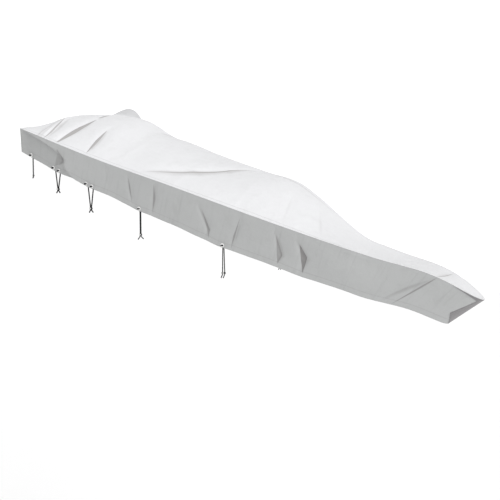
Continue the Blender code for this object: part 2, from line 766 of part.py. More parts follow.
def eyelet_seats(tie, side, folds, tree):
    """Seats of a tie's one or two eyelets."""
    places = [tie.x - 0.5 * tie.gap, tie.x + 0.5 * tie.gap] if tie.gap else [tie.x]
    seats = []
    for x in places:
        t = 1.0 - EYELET_UP / skirt_drop(x)
        near = skirt_point(x, t, side, folds) - ORIGIN
        seats.append(seat_on(tree, near, local_normal(x, t, side, folds)))
    return seats


def keeper_profile(radius):
    """A keeper's section round cords of that radius: distance out, height along them."""
    hole = radius + KEEPER_CLEAR
    wide = radius + KEEPER_WALL
    low = KEEPER_HALF - KEEPER_BEVEL
    return [
        (hole, -KEEPER_HALF),
        (wide - KEEPER_BEVEL, -KEEPER_HALF),
        (wide, -low),
        (wide, low),
        (wide - KEEPER_BEVEL, KEEPER_HALF),
        (hole, KEEPER_HALF),
    ]


def build_tie(tie, side, folds, tree):
    """One tie with its eyelets; returns the eyelet seats for the cloth's holes."""
    suffix = "starboard" if side < 0 else "port"
    seats = eyelet_seats(tie, side, folds, tree)
    for number, (centre, axis) in enumerate(seats):
        letter = "ab"[number] if len(seats) > 1 else ""
        frame = frame_at(centre, Vector((1.0, 0.0, 0.0)), axis)
        name = f"{tie.name}_eyelet{letter}_{suffix}"
        turned(name, EYELET_PROFILE, EYELET_SIDES, frame, "eyelet_shell")

    down = Vector((TIE_LEAN, 0.0, -1.0)).normalized()
    middle = sum((centre for centre, _axis in seats), Vector()) / len(seats)
    face = sum((axis for _centre, axis in seats), Vector()).normalized()
    out = (face - down * face.dot(down)).normalized()
    along = down.cross(out) * -side
    if along.x < 0.0:
        along.negate()
    bend = BEND_SHARE * tie.cord
    back = BEND_BACK + bend
    knot = middle - out * back + down * tie.drop
    frame = frame_at(knot, along, -down)
    sleeve(f"{tie.name}_keeper_{suffix}", keeper_profile(tie.cord), tie.apart, frame, "keeper_rubber")
    stud_frame = frame_at(knot + out * (tie.cord + KEEPER_WALL + STUD_GAP), along, out)
    turned(f"{tie.name}_stud_{suffix}", STUD_PROFILE, STUD_SIDES, stud_frame, "pale_plastic",
           STUD_CROWN)

    strands = [("", 0.0, tie.aft_splay, tie.aft_tail)]
    if tie.apart:
        strands = [("a", -1.0, tie.aft_splay, tie.aft_tail), ("b", 1.0, tie.fore_splay, tie.fore_tail)]
    for letter, lie, splay, length in strands:
        centre, axis = seats[0] if lie <= 0.0 else seats[-1]
        shared = tie.apart > 0.0 and len(seats) == 1
        hole = along * (lie * HOLE_APART * shared)
        front = along * (lie * KNOT_APART * shared)
        knot_length = SMALL_KNOT_LENGTH if shared else KNOT_LENGTH
        knot_radius = SMALL_KNOT_RADIUS if shared else KNOT_RADIUS
        tail = knot + along * (lie * tie.apart)
        tail += down * (KEEPER_HALF + bend * math.tan(0.5 * math.atan(abs(splay))))
        corners = [
            (centre + axis * (KNOT_FOOT + knot_length) + front, 0.0),
            (centre + axis * KNOT_FOOT + front, 0.0),
            (centre + hole, 0.0),
            (centre - axis * back + hole, bend),
            (knot + along * (lie * tie.apart) - down * KEEPER_ABOVE, KEEPER_BEND),
            (tail, bend),
            (tail + (down + along * splay).normalized() * length, 0.0),
        ]
        name = f"{tie.name}_cord{letter}_{suffix}"
        add_cord(name, rounded_route(corners), tie.cord, knot_length, knot_radius)
    return seats


def cut_holes(item, seats):
    """Cut the eyelet holes through a skirt."""
    build = bmesh.new()
    for centre, axis in seats:
        frame = frame_at(centre, Vector((1.0, 0.0, 0.0)), axis)
        bmesh.ops.create_cone(
            build, cap_ends=True, segments=EYELET_SIDES, radius1=CLOTH_HOLE,
            radius2=CLOTH_HOLE, depth=0.030, matrix=frame,
        )
    mesh = bpy.data.meshes.new("holes")
    build.to_mesh(mesh)
    build.free()
    cutter = bpy.data.objects.new("holes", mesh)
    cutter.hide_render = True
    cutter.display_type = "WIRE"
    bpy.context.scene.collection.objects.link(cutter)
    cut = item.modifiers.new("eyelet_holes", "BOOLEAN")
    cut.operation = "DIFFERENCE"
    cut.solver = "EXACT"
    cut.object = cutter
    view = bpy.context.evaluated_depsgraph_get()
    result = bpy.data.meshes.new_from_object(item.evaluated_get(view))
    item.modifiers.clear()
    item.data = result
    bpy.data.objects.remove(cutter, do_unlink=True)


def main():
    """Build the whole cover."""
    clear_scene()
    top_panel()
    stern_skirt()
    bow_patch()
    for side, name, folds in (
        (-1, "skirt_starboard", STARBOARD_FOLDS),
        (1, "skirt_port", PORT_FOLDS),
    ):
        skirt = side_skirt(name, side, folds)
        tree = skirt_tree(skirt)
        seats = []
        for tie in TIES:
            seats += build_tie(tie, side, folds, tree)
        cut_holes(skirt, seats)


main()
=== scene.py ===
import math
from collections import namedtuple

import bmesh
import bpy
import numpy as np
from mathutils import Matrix, Vector, kdtree, noise
from mathutils.bvhtree import BVHTree


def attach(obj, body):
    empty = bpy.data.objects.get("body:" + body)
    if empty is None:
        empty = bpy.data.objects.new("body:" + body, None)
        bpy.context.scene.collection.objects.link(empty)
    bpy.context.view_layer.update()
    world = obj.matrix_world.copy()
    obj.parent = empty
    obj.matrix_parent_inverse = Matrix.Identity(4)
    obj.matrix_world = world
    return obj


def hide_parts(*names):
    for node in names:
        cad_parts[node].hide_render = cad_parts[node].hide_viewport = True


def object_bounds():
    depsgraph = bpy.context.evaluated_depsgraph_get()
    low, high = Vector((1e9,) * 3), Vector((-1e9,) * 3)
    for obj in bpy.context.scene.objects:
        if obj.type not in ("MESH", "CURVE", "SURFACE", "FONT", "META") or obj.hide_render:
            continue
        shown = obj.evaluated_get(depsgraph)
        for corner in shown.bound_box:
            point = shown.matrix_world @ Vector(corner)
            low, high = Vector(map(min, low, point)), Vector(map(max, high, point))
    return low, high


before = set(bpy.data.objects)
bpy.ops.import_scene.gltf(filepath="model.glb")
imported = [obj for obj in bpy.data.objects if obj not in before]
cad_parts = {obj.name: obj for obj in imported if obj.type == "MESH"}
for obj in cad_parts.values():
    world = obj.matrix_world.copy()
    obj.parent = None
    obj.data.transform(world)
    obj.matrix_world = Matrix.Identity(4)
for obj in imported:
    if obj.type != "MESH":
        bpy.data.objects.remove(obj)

cad_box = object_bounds()

# ------------------------------------------------------------------ sizes of the cover
# Lengths are in metres. x runs from the transom to the bow, y to port, and z up from the
# gunwale's height at the transom. t is the share of the skirt's drop, from 0 at the gunwale.
LENGTH = 5.60
HALF_BEAM = 0.97
WIDEST_X = 1.96
STERN_SHARE = 0.93
BOW_POWER = 2.2
CLOTH = 0.003
SEAM_GAP = 0.0006
STEM_GAP = 0.0003
SKIRT_LEAN = 0.16
STERN_RAKE = 0.075
STERN_RAKE_END = 1.6
STEM_RAKE = 0.265
STEM_RAKE_START = 3.2
MOUNT_X = 2.8
MOUNT_HEIGHT = 0.378468
STEEPEST_RIM = 1.7            # the most that the rim's slope adds to its upright thickness
FULL_LEAN_BREADTH = 0.30      # half-breadth from which the skirt leans in fully
FOLD_SCALE = 0.40             # metres for the whole drop, in a skirt fold's path

# How far in from the edges the hump and the folds reach their full height.
RIM_FADE = 0.16
STERN_FADE = 0.12
NEAR_RIM = 0.05
SEAM_FADE = 0.09
STEM_CLEAR = 0.32
STEM_FADE = 0.12
CORNER_FADE = 0.15

SHEER = np.array([
    (0.00, 0.000), (1.12, -0.034), (2.24, -0.032), (3.36, -0.044),
    (4.48, -0.050), (5.15, -0.046), (5.60, -0.156),
])
DROP = np.array([
    (0.00, 0.267), (0.50, 0.311), (1.12, 0.332), (1.80, 0.377), (2.60, 0.422),
    (3.36, 0.435), (4.20, 0.432), (4.90, 0.439), (5.60, 0.373),
])
# station, centreline height above the gunwale, how boxy the section is
RIDGE = np.array([
    (0.00, 0.099, 2.0), (0.25, 0.332, 2.0), (0.50, 0.430, 2.0), (0.80, 0.511, 2.0),
    (1.10, 0.545, 2.0), (1.40, 0.477, 2.0), (1.80, 0.452, 2.0), (2.30, 0.421, 2.0),
    (2.80, 0.419, 2.3), (3.20, 0.421, 2.6), (3.50, 0.320, 2.6), (3.80, 0.192, 2.4),
    (4.10, 0.062, 2.2), (4.50, -0.013, 2.0), (5.10, 0.000, 2.0), (5.60, 0.000, 2.0),
])
HUMP = (0.66, 0.30, 0.160, 0.275, 0.320)     # x, y, height, half-length, half-width
TUCK_EDGE = np.array([
    (0.00, 0.00), (0.08, 0.22), (0.20, 0.52), (0.38, 0.71), (0.69, 0.76),
    (0.89, 0.85), (1.00, 0.94),
])
TUCK_DEPTH = 0.024
TUCK_BLEND = 0.075
TUCK_CORNER = 0.13
TUCK_SEAM = 0.10
HEM_CORNER = 0.06
HEM_DIPS = [          # x, width, depth
    (0.16, 0.10, 0.006), (0.62, 0.13, 0.009), (0.88, 0.09, -0.006), (1.15, 0.13, 0.009),
    (1.48, 0.12, -0.007), (1.87, 0.12, 0.010), (2.40, 0.16, -0.007), (2.92, 0.13, 0.011),
    (3.45, 0.16, -0.006), (3.88, 0.12, 0.007), (4.40, 0.18, -0.006),
]

CREASE_REACH = 0.42           # share of a fold's width that counts as its crease
FULL_CREASE_DEPTH = 0.016     # depth from which a fold's crease is fully darkened with dust and painted shade
RAISED_CREASE = 0.35          # dust and painted shade beside a raised fold, as a share of a sunken one's
FAR = 1e9

# Fold: width, depth, lean (which side is steeper), crisp (0 soft, 1 creased), path.
Fold = namedtuple("Fold", "width depth lean crisp path")
TOP_FOLDS = [
    Fold(0.060, 0.024, -0.5, 0.7, [(0.33, -0.92), (0.335, -0.74), (0.28, -0.42)]),
    Fold(0.050, -0.024, 0.4, 0.8, [(0.41, -0.92), (0.40, -0.74), (0.33, -0.46)]),
    Fold(0.085, -0.042, 0.6, 0.8, [(0.57, -0.92), (0.60, -0.78), (0.64, -0.62), (0.67, -0.42)]),
    Fold(0.050, -0.020, 0.4, 0.8, [(0.67, -0.38), (0.63, -0.10)]),
    Fold(0.060, -0.027, 0.5, 0.8, [(1.03, -0.92), (1.02, -0.79), (0.99, -0.58)]),
    Fold(0.070, -0.022, 0.8, 0.9, [
        (1.78, -0.91), (2.09, -0.785), (2.37, -0.64), (2.61, -0.455), (2.77, -0.17)]),
    Fold(0.075, -0.012, 0.5, 0.6, [(2.78, -0.20), (3.25, 0.07), (3.82, 0.20)]),
    Fold(0.100, -0.022, 0.5, 0.7, [(1.50, 0.86), (2.00, 0.66), (2.50, 0.46)]),
    Fold(0.065, -0.020, -0.5, 0.8, [(1.12, 0.90), (1.08, 0.58)]),
    Fold(0.070, -0.026, 0.5, 0.8, [(0.28, 0.86), (0.44, 0.56)]),
    Fold(0.080, -0.018, 0.5, 0.7, [(3.98, 0.64), (3.50, 0.60), (3.05, 0.76)]),
    Fold(0.075, -0.011, 0.6, 0.9, [(5.17, 0.40), (5.15, 0.00), (5.12, -0.46)]),
    Fold(0.080, -0.014, 0.3, 0.5, [(1.42, -0.16), (1.56, 0.24)]),
    Fold(0.050, 0.007, 0.4, 0.6, [(2.20, -0.90), (2.34, -0.40)]),
    Fold(0.045, 0.006, -0.4, 0.6, [(2.96, -0.90), (2.98, -0.50)]),
    Fold(0.050, -0.007, 0.4, 0.7, [(3.52, -0.86), (3.40, -0.46)]),
    Fold(0.055, -0.008, -0.4, 0.7, [(3.95, -0.78), (3.70, -0.30)]),
    Fold(0.045, 0.006, 0.4, 0.6, [(1.45, -0.92), (1.50, -0.52)]),
    Fold(0.040, -0.005, 0.4, 0.6, [(4.45, -0.66), (4.30, -0.10)]),
    Fold(0.050, 0.007, 0.4, 0.6, [(2.75, 0.88), (2.80, 0.42)]),
    Fold(0.050, -0.008, 0.4, 0.7, [(0.74, 0.84), (0.70, 0.62)]),
    Fold(0.055, -0.010, 0.5, 0.7, [(0.06, 0.30), (0.34, 0.22)]),
    Fold(0.055, -0.009, -0.5, 0.7, [(0.06, -0.22), (0.30, -0.16)]),
]
SIDE_FOLDS = {
    -1: [
        Fold(0.045, -0.014, 0.5, 0.9, [(0.62, 0.20), (0.69, 0.50), (0.63, 0.72)]),
        Fold(0.035, -0.011, 0.5, 0.9, [(1.64, 0.12), (1.69, 0.45), (1.76, 0.86)]),
        Fold(0.035, -0.012, -0.5, 0.9, [(2.01, 0.10), (2.05, 0.52), (2.06, 0.92)]),
        Fold(0.040, -0.015, 0.6, 0.9, [(2.58, 0.22), (2.76, 0.72), (2.74, 0.95)]),
        Fold(0.035, -0.011, -0.5, 0.9, [(3.10, 0.10), (3.09, 0.60), (3.06, 0.92)]),
        Fold(0.045, -0.016, 0.7, 0.9, [(3.48, 0.18), (3.62, 0.68), (3.58, 0.93)]),
        Fold(0.055, -0.021, 0.7, 0.9, [(3.74, 0.22), (3.88, 0.58), (3.86, 0.95)]),
        Fold(0.050, -0.014, 0.6, 0.9, [(5.14, 0.06), (4.96, 0.53), (4.79, 0.98)]),
        Fold(0.160, 0.014, 0.0, 0.1, [(4.15, 0.55), (4.60, 0.55)]),
        Fold(0.030, 0.005, 0.4, 0.7, [(2.28, 0.30), (2.40, 0.84)]),
        Fold(0.030, -0.005, 0.4, 0.7, [(1.33, 0.16), (1.40, 0.74)]),
        Fold(0.030, 0.005, 0.4, 0.7, [(4.30, 0.24), (4.36, 0.88)]),
    ],
    1: [
        Fold(0.038, -0.012, 0.5, 0.9, [(0.92, 0.16), (0.88, 0.84)]),
        Fold(0.035, -0.011, -0.5, 0.9, [(1.50, 0.14), (1.55, 0.88)]),
        Fold(0.040, -0.014, 0.6, 0.9, [(2.25, 0.14), (2.34, 0.90)]),
        Fold(0.035, -0.012, -0.5, 0.9, [(3.22, 0.16), (3.30, 0.92)]),
        Fold(0.050, -0.018, 0.7, 0.9, [(3.80, 0.18), (3.70, 0.94)]),
        Fold(0.050, -0.014, 0.6, 0.9, [(5.04, 0.14), (4.82, 0.96)]),
        Fold(0.160, 0.014, 0.0, 0.1, [(4.15, 0.55), (4.55, 0.55)]),
        Fold(0.030, 0.005, 0.4, 0.7, [(2.62, 0.24), (2.58, 0.84)]),
        Fold(0.030, -0.005, 0.4, 0.7, [(4.42, 0.20), (4.36, 0.86)]),
    ],
}
STERN_FOLDS = [
    Fold(0.045, -0.012, 0.5, 0.9, [(-0.52, 0.14), (-0.46, 0.92)]),
    Fold(0.045, -0.014, -0.5, 0.9, [(0.08, 0.20), (0.02, 0.94)]),
    Fold(0.045, -0.012, 0.5, 0.9, [(0.50, 0.14), (0.55, 0.90)]),
    Fold(0.030, 0.005, 0.4, 0.7, [(-0.20, 0.20), (-0.26, 0.80)]),
    Fold(0.030, 0.005, 0.4, 0.7, [(0.30, 0.20), (0.27, 0.82)]),
]

# Mark: painted shade on the shaded side of a crease, as a chord, how far its two edges bow to the chord's
# left, the share of its length where it is widest, how rounded it is, and how dark.
Mark = namedtuple("Mark", "start end low high peak round dark")
TOP_MARKS = [
    Mark((0.345, -1.15), (0.280, -0.46), -0.030, 0.036, 0.33, 0.6, 0.26),
    Mark((0.385, -0.96), (0.285, -0.49), -0.037, -0.020, 0.40, 1.0, 0.85),
    Mark((0.565, -0.93), (0.675, -0.39), -0.036, 0.026, 0.42, 0.5, 1.00),
    Mark((0.665, -0.37), (0.630, -0.10), -0.013, 0.013, 0.50, 0.6, 1.00),
    Mark((1.020, -0.94), (0.985, -0.59), -0.016, 0.016, 0.50, 0.5, 1.00),
    Mark((1.790, -0.91), (2.790, -0.13), -0.155, -0.139, 0.60, 0.7, 0.95),
    Mark((2.790, -0.13), (3.500, 0.08), 0.040, 0.050, 0.50, 1.0, 0.50),
    Mark((5.130, -0.56), (5.170, 0.42), -0.007, 0.007, 0.35, 1.0, 0.80),
    Mark((1.500, 0.88), (2.500, 0.46), -0.012, 0.016, 0.40, 0.6, 0.65),
    Mark((1.125, 0.92), (1.080, 0.58), -0.012, 0.014, 0.45, 0.5, 0.65),
    Mark((0.270, 0.88), (0.450, 0.54), -0.014, 0.014, 0.45, 0.5, 0.65),
]
SIDE_MARKS = {
    -1: [
        Mark((0.610, -0.070), (0.600, -0.285), 0.000, 0.112, 0.66, 0.0, 0.42),
        Mark((1.650, -0.100), (1.765, -0.365), -0.008, 0.010, 0.40, 0.4, 0.55),
        Mark((1.990, -0.075), (2.050, -0.400), -0.002, 0.024, 0.48, 0.2, 0.60),
        Mark((2.620, -0.150), (2.780, -0.440), 0.008, 0.038, 0.72, 0.1, 0.55),
        Mark((3.082, -0.090), (3.058, -0.455), -0.018, 0.002, 0.62, 0.2, 0.60),
        Mark((3.500, -0.145), (3.590, -0.445), 0.000, 0.054, 0.70, 0.0, 0.55),
        Mark((3.760, -0.160), (3.870, -0.455), 0.000, 0.064, 0.46, 0.0, 0.95),
        Mark((5.150, -0.040), (4.780, -0.480), -0.009, 0.009, 0.35, 0.7, 0.70),
    ],
    1: [
        Mark((0.920, -0.050), (0.880, -0.270), -0.014, 0.006, 0.50, 0.4, 0.55),
        Mark((1.500, -0.080), (1.550, -0.350), -0.006, 0.014, 0.45, 0.4, 0.55),
        Mark((2.250, -0.090), (2.340, -0.400), -0.004, 0.024, 0.60, 0.2, 0.60),
        Mark((3.220, -0.110), (3.300, -0.440), -0.004, 0.026, 0.50, 0.2, 0.60),
        Mark((3.800, -0.120), (3.700, -0.460), -0.050, 0.000, 0.55, 0.0, 0.70),
        Mark((5.070, -0.050), (4.810, -0.480), -0.008, 0.008, 0.40, 0.7, 0.65),
    ],
}
STERN_MARKS = [
    Mark((-0.520, 0.020), (-0.460, -0.240), -0.004, 0.020, 0.50, 0.3, 0.55),
    Mark((0.080, 0.050), (0.020, -0.250), -0.022, 0.002, 0.55, 0.2, 0.60),
    Mark((0.500, 0.020), (0.550, -0.230), -0.004, 0.018, 0.50, 0.3, 0.55),
]

# ------------------------------------------------------------------ ties
Tie = namedtuple("Tie", "name drop cord apart aft_splay aft_tail fore_splay fore_tail")
TIES = [
    Tie("tie_1", 0.243, 0.0070, 0.00000, -0.60, 0.018, 0.00, 0.000),
    Tie("tie_2", 0.233, 0.0070, 0.00720, -0.80, 0.034, 0.80, 0.034),
    Tie("tie_3", 0.268, 0.0070, 0.00720, -0.70, 0.034, 0.95, 0.036),
    Tie("tie_4", 0.290, 0.0055, 0.00565, -0.80, 0.048, 1.15, 0.044),
    Tie("tie_5", 0.298, 0.0055, 0.01250, -0.45, 0.046, -0.45, 0.046),
]
TIE_LEAN = 0.345              # forward for each metre down
BEND_SHARE = 4.1              # bend radius for each radius of cord
BEND_BACK = 0.0055
HOLE_APART = 0.0058
KNOT_APART = 0.0070
KNOT_FOOT = 0.0052            # where a knot or binding starts in front of its eyelet
KNOT_MIDDLE = 0.0104
KNOTTED_END = 0.0262
WHIPPING_MIDDLE = 0.0072
WHIPPED_END = 0.0185
KEEPER_ABOVE = 0.015
KEEPER_BEND = 0.060
KEEPER_HALF = 0.0090
KEEPER_CLEAR = 0.0012
KEEPER_WALL = 0.0055
STUD_GAP = 0.0004
STRAIGHT = 0.001

# ------------------------------------------------------------------ camera
CAMERA_TURN = 0.38        # radians round from the beam towards the bow
CAMERA_RISE = 0.158
CAMERA_ROLL = 0.30
CAMERA_AWAY = 9.2
CAMERA_FOCUS = 784.24     # focal length in pixels of a render 500 pixels wide
CAMERA_AIM = (2.9261, 0.0, -0.5471)
SENSOR = 36.0             # millimetres
RENDER_WIDTH = 500.0      # pixels


def ease(t):
    """0 below 0 and 1 above 1, with a smooth step between."""
    t = np.clip(t, 0.0, 1.0)
    return t * t * (3.0 - 2.0 * t)


def smooth_read(xs, ys, x):
    """Read a table on a smooth curve through its rows."""
    x = np.asarray(x, float)
    slope = np.gradient(ys, xs)
    i = np.clip(np.searchsorted(xs, x, side="right") - 1, 0, len(xs) - 2)
    step = xs[i + 1] - xs[i]
    t = np.clip((x - xs[i]) / step, 0.0, 1.0)
    return (
        (2 * t**3 - 3 * t**2 + 1) * ys[i]
        + (t**3 - 2 * t**2 + t) * step * slope[i]
        + (-2 * t**3 + 3 * t**2) * ys[i + 1]
        + (t**3 - t**2) * step * slope[i + 1]
    )


def sheer(x):
    """Height of the gunwale."""
    return smooth_read(SHEER[:, 0], SHEER[:, 1], x)


def half_breadth(x):
    """Half the breadth over the gunwales."""
    x = np.asarray(x, float)
    share = (WIDEST_X - np.minimum(x, WIDEST_X)) / WIDEST_X
    aft = STERN_SHARE + (1.0 - STERN_SHARE) * (1.0 - share * share)
    t = np.clip((x - WIDEST_X) / (LENGTH - WIDEST_X), 0.0, 1.0)
    return HALF_BEAM * np.where(x < WIDEST_X, aft, np.sqrt(np.maximum(1.0 - t**BOW_POWER, 0.0)))


def outline_normal(x):
    """Outward direction of the gunwale edge on the port side, as x and y."""
    x = np.asarray(x, float)
    aft = HALF_BEAM * (1.0 - STERN_SHARE) * 2.0 * (WIDEST_X - np.minimum(x, WIDEST_X)) / WIDEST_X**2
    t = np.clip((x - WIDEST_X) / (LENGTH - WIDEST_X), 0.0, 1.0)
    ahead = BOW_POWER * t ** (BOW_POWER - 1.0) * HALF_BEAM / (LENGTH - WIDEST_X)
    nx = np.where(x < WIDEST_X, -aft, ahead)
    ny = np.where(x < WIDEST_X, 1.0, 2.0 * np.sqrt(np.maximum(1.0 - t**BOW_POWER, 0.0)))
    size = np.hypot(nx, ny)
    return nx / size, ny / size


def path_place(x, y, path):
    """Signed distance from a line of straight pieces, and the share of its length."""
    points = np.array(path, float)
    steps = np.diff(points, axis=0)
    lengths = np.hypot(steps[:, 0], steps[:, 1])
    total = lengths.sum()
    best = np.full(x.shape, FAR)
    signed = np.zeros(x.shape)
    along = np.zeros(x.shape)
    run = 0.0
    for (ax, ay), (dx, dy), size in zip(points[:-1], steps, lengths):
        share = np.clip(((x - ax) * dx + (y - ay) * dy) / size**2, 0.0, 1.0)
        away = np.hypot(x - ax - share * dx, y - ay - share * dy)
        side = np.sign((y - ay) * dx - (x - ax) * dy)
        near = away < best
        best = np.where(near, away, best)
        signed = np.where(near, away * side, signed)
        along = np.where(near, (run + share * size) / total, along)
        run += size
    return signed, along


def folds_in_metres(folds):
    """Skirt folds with their shares of the drop turned into metres."""
    return [fold._replace(path=[(a, FOLD_SCALE * b) for a, b in fold.path]) for fold in folds]


def fold_field(x, y, folds):
    """Height of all folds, and how deep in a crease each point lies."""
    height = np.zeros(x.shape)
    crease = np.zeros(x.shape)
    for fold in folds:
        away, along = path_place(x, y, fold.path)
        swell = np.sin(np.pi * (0.08 + 0.84 * along))
        q = away / (fold.width * (0.55 + 0.55 * swell))
        q = q * (1.0 + fold.lean * np.tanh(2.5 * q) * 0.6)
        soft = np.exp(-q * q)
        sharp = np.exp(-1.15 * np.maximum(np.sqrt(q * q + 0.01) - 0.1, 0.0) ** 1.25)
        shape = (1.0 - fold.crisp) * soft + fold.crisp * sharp
        height += fold.depth * shape * swell**0.6
        line = np.exp(-((q / CREASE_REACH) ** 2)) * swell**0.8 * min(abs(fold.depth) / FULL_CREASE_DEPTH, 1.0)
        crease = np.maximum(crease, line * (1.0 if fold.depth < 0.0 else RAISED_CREASE))
    return height, crease


def pucker(s, seed, spacing):
    """Uneven gathers along a seam, from -1 to 1."""
    phase = 2.0 * np.pi * s / spacing
    return (
        0.55 * np.sin(phase + 1.7 * np.sin(0.37 * phase + seed))
        + 0.30 * np.sin(1.83 * phase + 2.1 * np.sin(0.23 * phase + 2.0 * seed) + seed)
        + 0.15 * np.sin(3.1 * phase + 3.0 * seed)
    )


def gathers(away, band, along, height, seed, spacing):
    """Gathers at each distance away from a seam or hem, along its length."""
    middle, width, start, rise = band
    strength = np.exp(-(((away - middle) / width) ** 2)) * ease((away - start) / rise)
    return height * strength * pucker(along, seed, spacing)


def slackness(points, height, scale, seed):
    """Smooth uneven slack at each point of a grid."""
    shift = Vector((seed * 7.3, seed * 3.1, seed * 5.7))
    rows = [noise.noise(Vector(point) * scale + shift) for point in points.reshape(-1, 3).tolist()]
    return height * np.array(rows).reshape(points.shape[:-1])


def top_height(x, v, detail=True):
    """Outer face of the top panel and its creases; v is -1 at starboard and 1 at port."""
    height = smooth_read(RIDGE[:, 0], RIDGE[:, 1], x)
    power = smooth_read(RIDGE[:, 0], RIDGE[:, 2], x)
    base = sheer(x) + height * (1.0 - np.abs(v) ** power)
    if not detail:
        return base, np.zeros(base.shape)
    y = v * half_breadth(x)
    rim = ease((1.0 - np.abs(v)) / RIM_FADE) * ease(x / STERN_FADE)
    folds, crease = fold_field(x, y, TOP_FOLDS)
    hx, hy, hh, hl, hw = HUMP
    away = ((x - hx) / hl) ** 2 + ((y - hy) / hw) ** 2
    hump = hh * np.maximum(1.0 - away, 0.0) ** 2
    near_rim = ease((1.0 - np.abs(v)) / NEAR_RIM) * ease(x / NEAR_RIM)
    return base + rim * hump + near_rim * folds, crease * near_rim


def rim_slope(x):
    """Upright thickness of the top panel at its rim."""
    small = 0.002
    ahead = np.minimum(x + small, LENGTH)
    behind = np.maximum(x - small, 0.0)
    high = top_height(ahead, np.ones_like(x), False)[0]
    low = top_height(behind, np.ones_like(x), False)[0]
    slope_x = (high - low) / (ahead - behind)
    breadth = np.maximum(half_breadth(x), 0.02)
    inside = top_height(x, np.full_like(x, 1.0 - small), False)[0]
    slope_y = (top_height(x, np.ones_like(x), False)[0] - inside) / (small * breadth)
    return CLOTH * np.minimum(np.sqrt(1.0 + slope_x**2 + slope_y**2), STEEPEST_RIM)


def skirt_drop(x):
    """How far the skirt hangs below the gunwale."""
    dips = sum(depth * np.exp(-(((x - at) / width) ** 2)) for at, width, depth in HEM_DIPS)
    return smooth_read(DROP[:, 0], DROP[:, 1], x) + dips * ease(x / HEM_CORNER)


def rake(x):
    """How far the hem lies ahead of the gunwale."""
    stern = STERN_RAKE * np.maximum(1.0 - x / STERN_RAKE_END, 0.0) ** 2
    bow = STEM_RAKE * np.maximum((x - STEM_RAKE_START) / (LENGTH - STEM_RAKE_START), 0.0) ** 2
    return stern - bow


def tuck_edge(t):
    """Where the drawn-in aft end of a side skirt stops."""
    return smooth_read(TUCK_EDGE[:, 0], TUCK_EDGE[:, 1], t)


def tuck_at(x, t):
    """How far the aft end of a side skirt is drawn in."""
    return TUCK_DEPTH * ease((tuck_edge(t) - x) / TUCK_BLEND) * ease(x / TUCK_CORNER) * ease(t / TUCK_SEAM)


def skirt_surface(x, t, side, push, folds=True):
    """Points of a side skirt, pushed out along the gunwale's normal, and its creases."""
    drop = skirt_drop(x)
    breadth = half_breadth(x)
    lean = SKIRT_LEAN * drop * t * np.minimum(1.0, breadth / FULL_LEAN_BREADTH)
    nx, ny = outline_normal(x)
    crease = np.zeros(x.shape)
    push = push - tuck_at(x, t)
    if folds:
        fade = ease(x / STERN_FADE) * ease((LENGTH - STEM_CLEAR - x) / STEM_FADE) * ease(t / SEAM_FADE)
        height, crease = fold_field(x, FOLD_SCALE * t, folds_in_metres(SIDE_FOLDS[side]))
        push = push + fade * height
        crease = crease * fade
    y = np.maximum(breadth - lean + push * ny, STEM_GAP)
    top = top_height(x, np.ones_like(x), False)[0] - rim_slope(x) - SEAM_GAP
    z = top + (sheer(x) - drop - top) * t
    return np.stack([x + rake(x) * t + push * nx, side * y, z], -1), crease


MOUNT = np.array([MOUNT_X, 0.0, MOUNT_HEIGHT])   # where the frame's origin lies on the boat


def in_scene(name, data):
    """A new object in the scene."""
    item = bpy.data.objects.new(name, data)
    bpy.context.scene.collection.objects.link(item)
    return item


# ------------------------------------------------------------------ the camera, placed first
aim = Vector(CAMERA_AIM) - Vector(MOUNT)
view_dir = Vector((
    math.sin(CAMERA_TURN) * math.cos(CAMERA_RISE),
    -math.cos(CAMERA_TURN) * math.cos(CAMERA_RISE),
    math.sin(CAMERA_RISE),
))
level = (-view_dir).cross(Vector((0, 0, 1))).normalized()
upright = level.cross(-view_dir)
right = math.cos(CAMERA_ROLL) * level + math.sin(CAMERA_ROLL) * upright
above = -math.sin(CAMERA_ROLL) * level + math.cos(CAMERA_ROLL) * upright
camera_data = bpy.data.cameras.new("camera")
camera_data.sensor_width = SENSOR
camera_data.lens = CAMERA_FOCUS * SENSOR / RENDER_WIDTH
camera_data.clip_end = 200.0
camera = in_scene("camera", camera_data)
camera.matrix_world = (
    Matrix.Translation(aim + view_dir * CAMERA_AWAY)
    @ Matrix((right, above, view_dir)).transposed().to_4x4()
)
bpy.context.scene.camera = camera
bpy.context.scene.view_settings.view_transform = "Standard"


# ------------------------------------------------------------------ materials
# Noises: scale, detail and roughness.
BROAD_TONE = (1.6, 4.0, 0.55)
BLOTCHES = (7.0, 5.0, 0.6)
SLUBS = (420.0, 2.0, 0.55)
STREAKS = (26.0, 4.0, 0.6)
WRINKLES = (9.0, 5.0, 0.55)
FINE_WRINKLES = (42.0, 4.0, 0.6)
SLUB_STRETCH = 0.06
STREAK_STRETCH = 0.07
BRAID_FUZZ = (900.0, 2.0, 0.55)
SCUFFS = (160.0, 6.0, 0.65)
CLOUDS = (35.0, 3.0, 0.55)
MOULD_GRAIN = (1500.0, 3.0, 0.55)
THREAD_TWIST = (600.0, 3.0, 0.55)
WEAVE_SCALE = 330.0

# How high the cloth's relief stands.
WEAVE_RELIEF = 0.00022
SLUB_RELIEF = 0.00012
HEM_RELIEF = 0.0011
WRINKLE_RELIEF = 0.010
FINE_RELIEF = 0.0011
MARK_RELIEF = 0.30            # for each metre inside a crease mark
CLOTH_BUMP = 0.85
